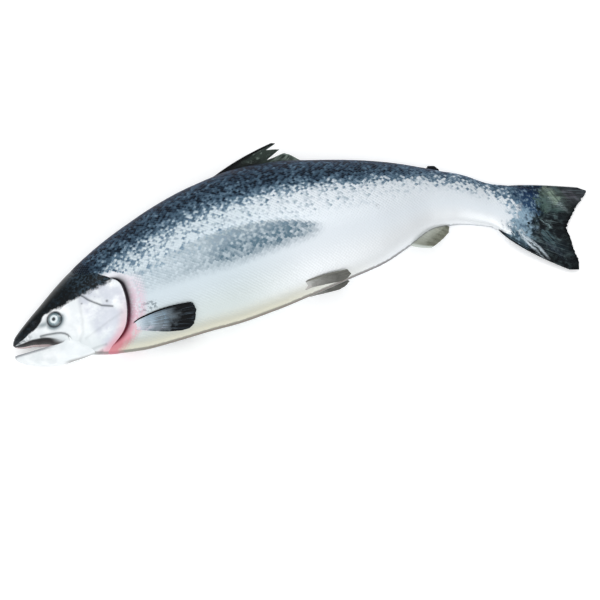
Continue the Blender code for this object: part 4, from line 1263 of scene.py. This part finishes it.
jaw = jaw_skin()
jaw.data.materials.append(jaw_finish())
jaw.data.materials.append(body_skin.data.materials[2])
inside_mark = get_mark(jaw.data, "inside")
for face in jaw.data.polygons:
    face.material_index = int(sum(inside_mark[v] for v in face.vertices) > 2.5)
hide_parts("salmon")
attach(jaw, "root")

# %% Tongue
TONGUE_CENTRE = (0.034, -0.0215)
TONGUE_HALF = (0.021, 0.0042, 0.0095)


def tongue_skin():
    """Tongue: a flattened bulb along the floor of the mouth, pointed at its tip."""
    along = np.linspace(0.04, 0.96, 40)[:, None] * math.pi
    round_way = 2.0 * math.pi * np.arange(40)[None, :] / 40
    taper = np.sin(along) ** 0.8
    centre = np.array([TONGUE_CENTRE[0], TONGUE_CENTRE[1], float(axis_height(TONGUE_CENTRE[0]))])
    reach = (-np.cos(along), taper * np.cos(round_way), taper * np.sin(round_way))
    points = centre + TONGUE_HALF * np.stack(np.broadcast_arrays(*reach), -1)
    tips = (centre - (TONGUE_HALF[0], 0.0, 0.0), centre + (TONGUE_HALF[0], 0.0, 0.0))
    return closed_tube("tongue", points, {}, tips)


tongue = tongue_skin()
tongue.data.materials.append(body_skin.data.materials[2])
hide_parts("salmon")
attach(tongue, "root")

# %% [markdown]
# ## Eyes
# A salmon's eye is nearly flat, with a small dark pupil, a bright silver iris and a dark ring of skin
# round it. The ball is turned from a profile about its own outward axis, with the pupil a little
# sunk and the iris a little raised, and the clear cornea is a smooth coat over it.

# %% Eyeballs
EYE_RADIUS = 0.0118
EYE_HALF_DEPTH = 0.0085
PUPIL_RADIUS = 0.0028
PUPIL_SINK = 0.0004
IRIS_RISE = 0.0003
IRIS_RIDGE = (0.0044, 0.0012)   # radius and width of the raised ring of the iris
EYE_REAR = 0.02             # added to the mark of the hidden half, to keep it dark
EYE_SIDES = 72
EYE_RINGS = 48


def eyeball(name, centre, out):
    """Eyeball turned about its outward axis."""
    polar = math.pi * np.linspace(0.0, 1.0, EYE_RINGS + 2)[1:-1]
    radius = EYE_RADIUS * np.sin(polar)
    height = EYE_HALF_DEPTH * np.cos(polar)
    front = polar < math.pi / 2.0
    pupil = ease((PUPIL_RADIUS + 0.0003 - radius) / 0.0006)
    dish = -PUPIL_SINK * pupil + IRIS_RISE * bell(radius, *IRIS_RIDGE)
    height = height + np.where(front, dish, 0.0)
    first = np.cross(out, (0.0, 0.0, 1.0))
    first = first / np.linalg.norm(first)
    second = np.cross(out, first)
    turn = 2.0 * math.pi * np.arange(EYE_SIDES) / EYE_SIDES
    ring = np.cos(turn)[:, None] * first + np.sin(turn)[:, None] * second
    points = centre + radius[:, None, None] * ring[None] + height[:, None, None] * out
    from_axis = radius + np.where(front, 0.0, EYE_REAR)
    marks = {"from_axis": np.broadcast_to(from_axis[:, None], points.shape[:2])}
    tips = (centre + out * height[0], centre - out * EYE_HALF_DEPTH)
    return closed_tube(name, points + PLAN_SHIFT, marks, np.array(tips) + PLAN_SHIFT)


def eye_finish():
    """Pupil, silver iris and dusky ring under a clear coat."""
    finish = Finish("eye_surface", roughness=0.12, coat=1.0, coat_roughness=0.03)
    away = finish.mark("from_axis")
    streaks = finish.noise(0.0012, 3.0)
    wobble = (streaks - 0.5) * 0.0009
    away = away + wobble
    stops = ((0.0, (8, 14, 20)), (0.19, (24, 32, 38)), (0.24, (150, 168, 172)), (0.31, (222, 230, 232)),
             (0.48, (214, 224, 226)), (0.57, (132, 152, 158)), (0.72, (98, 118, 124)),
             (0.84, (44, 60, 66)), (1.0, (22, 32, 38)))
    finish.colour(finish.ramp(away / 0.0098, stops))
    finish.bump(streaks, 0.00008, 0.3)
    return finish.material


eye_material = eye_finish()
for name, (centre, side) in eye_frames().items():
    ball = eyeball(name.replace("eye_", "eyeball_"), centre, eye_out * (1.0, 1.0, side))
    ball.data.materials.append(eye_material)
    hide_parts(name)
    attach(ball, "root")

# %% [markdown]
# ## Fins: a thin web
# A fin is a thin web of skin stretched over bony rays. The web is a plate over a middle surface with
# two shares as its coordinates, one along the base and one out along a ray, so the outline can be
# given by a few tips. The fins of back, belly and tail stand in the plane of the body, and the
# paired ones fold back along the flank.

# %% Driving sizes of the fins
TAIL_HEIGHT = ((0.6, 0.0175), (0.655, 0.011), (0.668, 0.0095), (0.682, 0.008), (0.73, 0.0046),
               (0.76, 0.004))
DORSAL = {"base": ((0.262, 0.149), (0.402, 0.152)),
          "tips": ((0.0, 0.369, 0.1957), (0.05, 0.3732, 0.1952), (0.1, 0.3738, 0.1936),
                   (0.2, 0.3603, 0.1872), (0.3, 0.379, 0.1853), (0.35, 0.3667, 0.178),
                   (0.4, 0.358, 0.1731), (0.45, 0.369, 0.1751), (0.55, 0.3805, 0.1783),
                   (0.6, 0.3837, 0.1779), (0.75, 0.39, 0.1738), (0.9, 0.399, 0.1652), (1.0, 0.406, 0.16)),
          "bulges": ((-0.004, 0.01), (0.0, 0.0)), "rays": 12}
ADIPOSE = {"base": ((0.551, 0.117), (0.566, 0.112)),
           "tips": ((0.0, 0.5605, 0.1285), (0.5, 0.569, 0.1272), (1.0, 0.574, 0.1205)),
           "bulges": ((0.0, 0.0), (0.0, 0.0)), "rays": 0}
ANAL = {"base": ((0.503, 0.028), (0.555, 0.049)),
        "tips": ((0.0, 0.5371, 0.0142), (0.25, 0.546, 0.0185), (0.5, 0.5545, 0.024),
                 (0.75, 0.5636, 0.0309), (1.0, 0.5665, 0.039)), "bulges": ((-0.004, -0.006), (0.0, 0.0)),
        "rays": 11}
TAIL = {"base": ((0.628, 0.08), (0.628, 0.026)),
        "tips": ((0.0, 0.7465, 0.0637), (0.036, 0.7561, 0.0575), (0.08, 0.7514, 0.0502),
                 (0.25, 0.7354, 0.0364), (0.43, 0.7208, 0.0179), (0.5, 0.7164, 0.0117),
                 (0.58, 0.7175, 0.0014), (0.8, 0.7186, -0.0274), (0.91, 0.7197, -0.0385),
                 (0.964, 0.7166, -0.0483), (1.0, 0.705, -0.0462)),
        "bulges": ((-0.0204, 0.0185), (-0.0165, -0.001)), "rays": 21}
PECTORAL = {"base": ((0.1464, -0.0192), (0.1484, -0.024)),
            "tips": ((0.0, 0.2235, -0.0112), (0.08, 0.2268, -0.0128), (0.25, 0.229, -0.02),
                     (0.45, 0.2262, -0.0285), (0.62, 0.2225, -0.034), (0.8, 0.2165, -0.0385),
                     (1.0, 0.208, -0.0392)), "bulges": ((-0.004, 0.0075), (-0.01, -0.0035)), "rays": 13,
            "clearance": 0.0055, "lower_fold": 0.007}
PELVIC = {"base": ((0.362, -0.0105), (0.366, -0.0175)),
          "tips": ((0.0, 0.422, -0.004), (0.4, 0.426, -0.011), (0.7, 0.42, -0.016), (1.0, 0.412, -0.019)),
          "bulges": ((0.0, 0.002), (0.0, 0.0)), "rays": 9, "clearance": 0.005, "lower_fold": 0.006}
ROOT_SINK = 0.0035
FLANK_LIMIT = 0.92
TABLE_CLEARANCE = 0.0012
RAY_BEND = 0.4
tail_height = smooth_curve(TAIL_HEIGHT)


def fin_plan(fin, f, t):
    """Plan places on a fin: f runs along its base, t out along a ray."""
    (ax, ay), (bx, by) = fin["base"]
    shares = [tip[0] for tip in fin["tips"]]
    tip_x = np.interp(f, shares, [tip[1] for tip in fin["tips"]])
    tip_y = np.interp(f, shares, [tip[2] for tip in fin["tips"]])
    base_x, base_y = ax + (bx - ax) * f, ay + (by - ay) * f
    (first_x, first_y), (last_x, last_y) = fin["bulges"]
    bend_x = base_x + (tip_x - base_x) * RAY_BEND + first_x * (1.0 - f) ** 4 + last_x * f ** 4
    bend_y = base_y + (tip_y - base_y) * RAY_BEND + first_y * (1.0 - f) ** 4 + last_y * f ** 4
    x = base_x * (1.0 - t) ** 2 + 2.0 * bend_x * t * (1.0 - t) + tip_x * t * t
    y = base_y * (1.0 - t) ** 2 + 2.0 * bend_y * t * (1.0 - t) + tip_y * t * t
    return x, y


def flank_height(x, y, side):
    """Height of the flank over or under plan places, levelled off toward the belly edge."""
    station = np.array(x, float)
    for _ in range(5):
        back_x, back_y = back_direction(station)
        ahead = (x - station) * back_y - (y - axis_line(station)) * back_x
        station = station + ahead * back_y
    back_x, back_y = back_direction(station)
    v = (x - station) * back_x + (y - axis_line(station)) * back_y
    depth = 0.5 * (to_back(station) + to_belly(station))
    middle = 0.5 * (to_back(station) - to_belly(station))
    cosine = np.clip((v - middle) / depth, -FLANK_LIMIT, FLANK_LIMIT)
    return axis_height(station) + side * half_thickness(station) * thickness_share(station, cosine)


def fin_surface(fin, f, t, side=0.0):
    """Middle surface of a fin; side is 1 or -1 for a paired fin on the upper or lower flank."""
    x, y = fin_plan(fin, f, t)
    if side == 0.0:
        height = np.where(x > TAIL_HEIGHT[1][0], tail_height(x), axis_height(x))
        return np.stack(np.broadcast_arrays(x, y, height), -1)
    if side < 0.0:
        y = y + fin["lower_fold"] * t
    lift = -ROOT_SINK * (1.0 - ease(t / 0.2)) + fin["clearance"] * ease(t / 0.9)
    height = np.maximum(flank_height(x, y, side) + side * lift, TABLE_CLEARANCE)
    return np.stack(np.broadcast_arrays(x, y, height), -1)


# %% Webs of the fins
WEB_HALF = 0.00018          # half thickness of the web
WEB_ROOT = 0.0013           # half thickness where it leaves the body
COLUMNS_PER_RAY = 8
WEB_STEPS = 44
SCALLOP = 0.004             # how far the edge draws in between two rays
FRAY = 0.012                # and how unevenly long it is, as shares of a ray's length
WAVE = 0.00016              # height of the web's waves


def web(name, fin, side=0.0, seed=1):
    """Thin closed plate of a fin, drawn in between its rays and gently waved."""
    rng = np.random.default_rng(seed)
    rays = max(fin["rays"], 6)
    columns = rays * COLUMNS_PER_RAY
    f = np.linspace(0.0, 1.0, columns + 1)[:, None]
    between = 0.5 - 0.5 * np.cos(2.0 * math.pi * f * rays)
    knots = rays * 2 + 1
    fray = np.interp(f, np.linspace(0.0, 1.0, knots), rng.uniform(0.0, 1.0, knots))
    reach = 1.0 - SCALLOP * between - FRAY * fray
    t = np.linspace(0.0, 1.0, WEB_STEPS + 1)[None, :] * reach
    middle = fin_surface(fin, f + 0.0 * t, t, side)
    across = np.gradient(middle, axis=0)
    along = np.gradient(middle, axis=1)
    normal = np.cross(along, across)
    normal /= np.linalg.norm(normal, axis=-1, keepdims=True)
    wave = WAVE * np.sin(2.0 * math.pi * (f * rays * 0.5 + 0.7 * t)) * t
    half = WEB_HALF + (WEB_ROOT - WEB_HALF) * (1.0 - t) ** 3
    lifted = middle + normal * wave[..., None]
    upper, lower = lifted + normal * half[..., None], lifted - normal * half[..., None]
    rows, cols = upper.shape[:2]
    count = rows * cols
    i, j = np.indices((rows - 1, cols - 1)).reshape(2, -1)
    a = i * cols + j
    quads = np.stack([a, a + 1, a + cols + 1, a + cols], 1)
    u = np.stack([i, i, i + 1, i + 1], 1) / (rows - 1.0)
    v = np.stack([j, j + 1, j + 1, j], 1) / (cols - 1.0)
    face_up = np.stack([0.02 + 0.96 * u, 0.52 + 0.46 * v], -1)
    face_down = np.stack([0.02 + 0.96 * u, 0.02 + 0.46 * v], -1)[:, ::-1]
    grid = np.arange(count).reshape(rows, cols)
    edge = np.concatenate([grid[:, 0], grid[-1, 1:], grid[-2::-1, -1], grid[0, -2:0:-1]])
    after = np.roll(edge, -1)
    rim = np.stack([edge, after, after + count, edge + count], 1)
    share = np.arange(len(edge)) / len(edge)
    ahead = share + 1 / len(edge)
    rim_places = map_places((share, 0.495), (ahead, 0.495), (ahead, 0.505), (share, 0.505))
    faces = np.concatenate([quads, quads[:, ::-1] + count, rim]).tolist()
    places = np.concatenate([face_up.reshape(-1, 2), face_down.reshape(-1, 2), rim_places])
    points = np.concatenate([upper.reshape(-1, 3), lower.reshape(-1, 3)])
    marks = {"along_base": np.tile(np.broadcast_to(f, t.shape).ravel(), 2), "out": np.tile(t.ravel(), 2)}
    obj = make_object(name, points, faces, places, marks)
    turn_outward(obj)
    return obj


# %% [markdown]
# ## Fin rays
# Each ray starts as one stout rod at the base and splits twice on its way out, getting finer. A ray
# is a line on the fin's middle surface with a radius at each of its points. Geometry Nodes draws a
# small round profile along all the lines of a fin at once, so thickness and roundness of the
# rays are two inputs of one tree.

# %% The ray tree
def ray_tree():
    """Tree that turns lines with a radius into tapered rods."""
    tree, add, inputs = node_group("draw_rays", (
        ("Thickness", "NodeSocketFloat", 1.0), ("Sides", "NodeSocketInt", 6),
        ("Finish", "NodeSocketMaterial", None)))
    lines = add("GeometryNodeMeshToCurve", Mesh=inputs["Geometry"])
    radius = add("ShaderNodeMath", {"operation": "MULTIPLY"}, i0=named(tree, "thick"),
                 i1=inputs["Thickness"])
    sized = add("GeometryNodeSetCurveRadius", Curve=lines, Radius=radius)
    profile = add("GeometryNodeCurvePrimitiveCircle", Resolution=inputs["Sides"], Radius=1.0)
    rods = add("GeometryNodeCurveToMesh", Curve=sized, Profile_Curve=profile, Fill_Caps=True,
               Scale=radius)
    smooth = add("GeometryNodeSetShadeSmooth", Geometry=rods)
    real = add("GeometryNodeRealizeInstances", Geometry=smooth)
    finish = add("GeometryNodeSetMaterial", Geometry=real, Material=inputs["Finish"])
    add_node(tree, "NodeGroupOutput", i0=finish)
    return tree


RAY_ROOT = 0.00095
RAY_TIP = 0.00052
SPLITS = (0.34, 0.56, 0.76)     # shares of its length at which a ray splits
SPLIT_SPREAD = (0.22, 0.115, 0.06)
SPLIT_THICKNESS = (1.0, 0.8, 0.66, 0.56)
RAY_POINTS = 11
RAY_ENDS = (0.93, 0.985)    # shares of its length between which a ray ends
FRONT_RAY_END = 0.97        # the front ray of a fin doesn't split
FRONT_RAY = 1.35            # and is stouter than the rest


def ray_lines(name, fin, side=0.0, seed=1):
    """Lines of a fin's rays, each splitting three times, with their radius."""
    rng = np.random.default_rng(seed)
    rays = fin["rays"]
    width = 1.0 / rays
    points, edges, marks = [], [], {"thick": [], "along_base": [], "out": []}
    for k in range(rays):
        centre = (k + 0.5) * width
        stout = k == 0
        strands = [(0.0, FRONT_RAY_END if stout else SPLITS[0], centre, centre, SPLIT_THICKNESS[0])]
        forks = [] if stout else [centre]
        for level, spread in enumerate(SPLIT_SPREAD):
            start = SPLITS[level]
            next_forks = []
            for fork in forks:
                for way in (-1.0, 1.0):
                    end = SPLITS[level + 1] if level < 2 else rng.uniform(*RAY_ENDS)
                    target = fork + way * spread * width
                    strands.append((start, end, fork, target, SPLIT_THICKNESS[level + 1]))
                    next_forks.append(target)
            forks = next_forks
        for start, end, f_start, f_end, share in strands:
            s = np.linspace(0.0, 1.0, RAY_POINTS)
            t = start + (end - start) * s
            f = np.clip(f_start + (f_end - f_start) * ease(s * 1.4), 0.004, 0.996)
            first = len(points)
            points += list(fin_surface(fin, f, t, side))
            edges += [(first + i, first + i + 1) for i in range(RAY_POINTS - 1)]
            taper = (RAY_TIP + (RAY_ROOT - RAY_TIP) * (1.0 - t) ** 0.8) * share
            taper *= FRONT_RAY if stout else 1.0
            for key, values in zip(marks, (taper, f, t)):
                marks[key] += list(values)
    return make_object(name, np.array(points), marks=marks, edges=edges)


# %% [markdown]
# ## Finishes of the fins
# Every fin has its own colours, but all share one idea: a gradient out along the rays, a gradient
# along the base, and fine streaks that run with the rays, so one function serves them all.

# %% Fin finishes
def fin_finish(name, root, mid, tip, front, front_width, rear, mottle=0.0, from_root=0.05, streak=0.35):
    """Colours from root to edge, with front and rear tints and streaks along the rays."""
    finish = Finish(name, roughness=0.46, coat=0.03, coat_roughness=0.2, gloss=0.07)
    f, t = finish.mark("along_base"), finish.mark("out")
    streaks = finish.streaks(f * 90.0, t * 4.0, 3.0)
    patches = finish.noise(0.018, 3.0) - 0.5
    way = t + patches * 0.45
    way = way + (streaks - 0.5) * 0.4
    way = way + (0.5 - f) * 0.14
    colour = finish.ramp(way, ((from_root, root), (max(0.5, from_root + 0.16), mid), (0.8, tip)))
    colour = finish.blend(streaks.step(0.5, 0.75) * streak, colour, mid)
    dark = finish.blend(0.5, tip, (10, 14, 18))
    colour = finish.blend(streaks.step(0.46, 0.28) * streak, colour, dark)
    hind = f.step(0.55, 0.85) * finish.patches(0.006, 3.0, 0.3, 0.6)
    hind = hind * t.step(0.8, 0.5)
    colour = finish.blend(hind * 0.75, colour, rear)
    patchy = finish.patches(0.005, 3.0, 0.46, 0.7) * t.step(0.52, 0.72)
    colour = finish.blend(patchy * mottle, colour, rear)
    last_lobe = f.step(0.4, 0.56) * t.step(0.6, 0.82)
    colour = finish.blend(last_lobe * mottle, colour, rear)
    colour = finish.blend(f.step(front_width, front_width * 0.4), colour, front)
    finish.colour(colour)
    finish.bump(streaks, 0.0003, 0.5)
    return finish.material


def ray_finish(name, root, tip, front):
    """Colour of the bony rays, from root to tip, and of the front ray; the tail's follow its web."""
    finish = Finish(name, roughness=0.4, coat=0.05, coat_roughness=0.2, gloss=0.1)
    uneven = finish.stir(0.01, 3.0, 0.5)
    colour = finish.ramp(finish.mark("out") + uneven, ((0.2, root), (0.8, tip)))
    colour = finish.blend(finish.mark("along_base").step(0.11, 0.08), colour, front)
    if name.startswith("tail"):
        f, t = finish.mark("along_base"), finish.mark("out")
        streaks = finish.streaks(f * 110.0, t * 3.0, 4.0)
        shared, along = tail_colour(finish, (streaks - 0.5) * 0.02)
        glints = streaks.step(0.54, 0.7) * along.step(0.024, 0.04)
        shared = finish.blend(glints * 0.4, shared, (120, 138, 140))
        shade = streaks.step(0.52, 0.36) * along.step(0.022, 0.04)
        edge = t.step(0.84, 0.97) * 0.7
        colour = finish.blend(finish.math("MAXIMUM", shade * 0.8, edge), shared, (4, 8, 12))
    joints = finish.patches(0.0011, 1.0, 0.6, 0.7)
    finish.colour(finish.blend(joints * 0.25, colour, (10, 14, 18)))
    finish.bump(finish.noise(0.0011, 1.0), 0.0001, 0.5)
    return finish.material


def tail_finish():
    """Tail: the shared colours of the tail with streaks along the rays and a black edge."""
    finish = Finish("tail_fin_skin", roughness=0.46, coat=0.02, coat_roughness=0.2, gloss=0.06)
    f, t = finish.mark("along_base"), finish.mark("out")
    streaks = finish.streaks(f * 110.0, t * 3.0, 4.0)
    stir = (streaks - 0.5) * 0.02
    colour, along = tail_colour(finish, stir)
    bands = finish.streaks(f * 30.0, t * 1.6, 2.0)
    pale = bands.step(0.5, 0.62) * t.step(0.84, 0.5)
    pale = pale * (f.step(0.55, 0.7) * f.step(0.96, 0.86))
    pale = pale * streaks.step(0.36, 0.54)
    colour = finish.blend(pale * 0.3, colour, (178, 188, 192))
    glints = streaks.step(0.55, 0.7) * along.step(0.024, 0.04)
    colour = finish.blend(glints * 0.35, colour, (112, 130, 132))
    shade = streaks.step(0.46, 0.32) * along.step(0.024, 0.04)
    colour = finish.blend(shade * 0.6, colour, (3, 7, 11))
    far = (t + stir * 6.0).step(0.84, 0.97)
    edge = finish.math("MAXIMUM", far, f.step(0.93, 0.98)) * f.step(0.1, 0.24)
    colour = finish.blend(edge * 0.9, colour, (3, 5, 8))
    finish.colour(colour)
    finish.bump(streaks, 0.0003, 0.6)
    return finish.material


PECTORAL_LOOK = (((224, 228, 231), (142, 166, 184), (1, 2, 4), (2, 4, 7), 0.1, (222, 200, 214)),
                 ((158, 172, 182), (4, 6, 9)))
PELVIC_LOOK = (((186, 186, 184), (140, 142, 136), (102, 102, 96), (114, 114, 108), 0.1, (176, 168, 164)),
               ((150, 150, 146), (96, 96, 92)))
# Fin, side, colours of the web (root, middle, tip, front, width of the front, rear) and of the rays
# (root, tip)
FIN_LOOKS = {
    "dorsal_fin": (DORSAL, 0.0, ((2, 3, 8), (24, 32, 26), (46, 57, 50), (3, 4, 7), 0.1,
                                 (138, 154, 146), 0.5, 0.56), ((8, 10, 14), (44, 54, 50))),
    "adipose_fin": (ADIPOSE, 0.0, ((40, 54, 66), (20, 28, 36), (8, 14, 20), (12, 18, 24), 0.1,
                                   (20, 28, 36)), None),
    "anal_fin": (ANAL, 0.0, ((196, 200, 194), (150, 154, 142), (112, 114, 100), (190, 196, 190), 0.12,
                             (176, 176, 160)), ((176, 180, 172), (104, 106, 94))),
    "tail_fin": (TAIL, 0.0, None, ((60, 82, 98), (14, 20, 24))),
    "pectoral_fin_left": (PECTORAL, 1.0, *PECTORAL_LOOK),
    "pectoral_fin_right": (PECTORAL, -1.0, *PECTORAL_LOOK),
    "pelvic_fin_left": (PELVIC, 1.0, *PELVIC_LOOK),
    "pelvic_fin_right": (PELVIC, -1.0, *PELVIC_LOOK)}

tree = ray_tree()
for number, (name, (fin, side, look, ray_look)) in enumerate(FIN_LOOKS.items()):
    look_material = fin_finish(name + "_skin", *look) if look else tail_finish()
    membrane = web(name, fin, side, seed=20 + number)
    membrane.data.materials.append(look_material)
    made = [membrane]
    if fin["rays"]:
        lines = ray_lines("lines_" + name, fin, side, seed=40 + number)
        ray_material = ray_finish(name + "_ray_skin", *ray_look, look[3] if look else (14, 22, 34))
        made.append(run_nodes(lines, tree, {"Finish": ray_material, "Sides": 6}, name + "_rays"))
    for piece in made:
        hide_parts("salmon")
        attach(piece, "root")

# %% [markdown]
# ## Floor, light and camera
# The fish lies on a plain white floor. Two long soft boxes, one over its back and one on the belly
# side, leave a darker gap overhead, and the wet flank reflects that gap along its middle, over the
# dusky band that is painted there as part pigment and part reflection. The camera looks down steeply
# from the belly side with a long lens.

# %% Stage
FLOOR_HALF = 6.0
FLOOR_GLOW = 0.2            # a little light of the floor's own keeps its soft shadows faint


def floor():
    """Plain white floor."""
    h = FLOOR_HALF
    mesh = bpy.data.meshes.new("floor")
    mesh.from_pydata([(-h, -h, 0.0), (h, -h, 0.0), (h, h, 0.0), (-h, h, 0.0)], [], [(0, 1, 2, 3)])
    obj = bpy.data.objects.new("floor", mesh)
    bpy.context.scene.collection.objects.link(obj)
    finish = Finish("floor_paint", roughness=0.8)
    finish.colour((0.97, 0.97, 0.97, 1.0))
    finish.shader.inputs["Emission Color"].default_value = (1.0, 1.0, 1.0, 1.0)
    finish.shader.inputs["Emission Strength"].default_value = FLOOR_GLOW
    mesh.materials.append(finish.material)


def soft_box(name, toward, distance, width, height, power):
    """Rectangular area light that looks at the fish from a direction."""
    data = bpy.data.lights.new(name, "AREA")
    data.shape = "RECTANGLE"
    data.size, data.size_y, data.energy = width, height, power
    obj = bpy.data.objects.new(name, data)
    direction = Vector(toward).normalized()
    obj.location = direction * distance
    obj.rotation_euler = (-direction).to_track_quat("-Z", "Y").to_euler()
    bpy.context.scene.collection.objects.link(obj)


floor()
soft_box("box_over_back", (0.05, 0.5, 0.86), 1.6, 2.0, 0.6, 8.0)
soft_box("box_on_belly_side", (-0.1, -0.72, 0.7), 1.8, 2.4, 1.2, 11.0)


def studio_world():
    """Soft white room: brightest above and on the camera's side, dimmer low behind the back."""
    world = bpy.data.worlds.new("studio")
    bpy.context.scene.world = world
    world.use_nodes = True
    nodes, links = world.node_tree.nodes, world.node_tree.links
    direction = nodes.new("ShaderNodeTexCoord")
    toward = nodes.new("ShaderNodeVectorMath")
    toward.operation = "DOT_PRODUCT"
    toward.inputs[1].default_value = (0.0, -0.5, 0.866)
    glow = nodes.new("ShaderNodeMapRange")
    glow.interpolation_type = "SMOOTHSTEP"
    for label, value in (("From Min", -0.35), ("From Max", 0.85), ("To Min", 0.16), ("To Max", 0.92)):
        glow.inputs[label].default_value = value
    links.new(direction.outputs["Generated"], toward.inputs[0])
    links.new(toward.outputs["Value"], glow.inputs["Value"])
    links.new(glow.outputs["Result"], nodes["Background"].inputs["Strength"])
    nodes["Background"].inputs["Color"].default_value = (0.97, 0.985, 1.0, 1.0)


studio_world()
bpy.context.scene.view_settings.view_transform = "Standard"

# %% Camera
ELEVATION = math.radians(68.0)
AZIMUTH = math.radians(-12.75)
CAMERA_DISTANCE = 2.4
CAMERA_AIM = (-0.01625, -0.08182, 0.0)
LENS_MM = 113.76
camera_right = Vector((math.cos(AZIMUTH), math.sin(AZIMUTH), 0.0))
camera_up = Vector((-math.sin(AZIMUTH) * math.sin(ELEVATION), math.cos(AZIMUTH) * math.sin(ELEVATION),
                    math.cos(ELEVATION)))
toward_camera = camera_right.cross(camera_up)
camera = bpy.data.objects.new("camera", bpy.data.cameras.new("camera"))
camera.data.lens = LENS_MM
camera.data.sensor_width = 36.0
camera.location = Vector(CAMERA_AIM) + toward_camera * CAMERA_DISTANCE
camera.rotation_mode = "QUATERNION"
camera.rotation_quaternion = toward_camera.to_track_quat("Z", "Y")
bpy.context.scene.collection.objects.link(camera)
bpy.context.scene.camera = camera
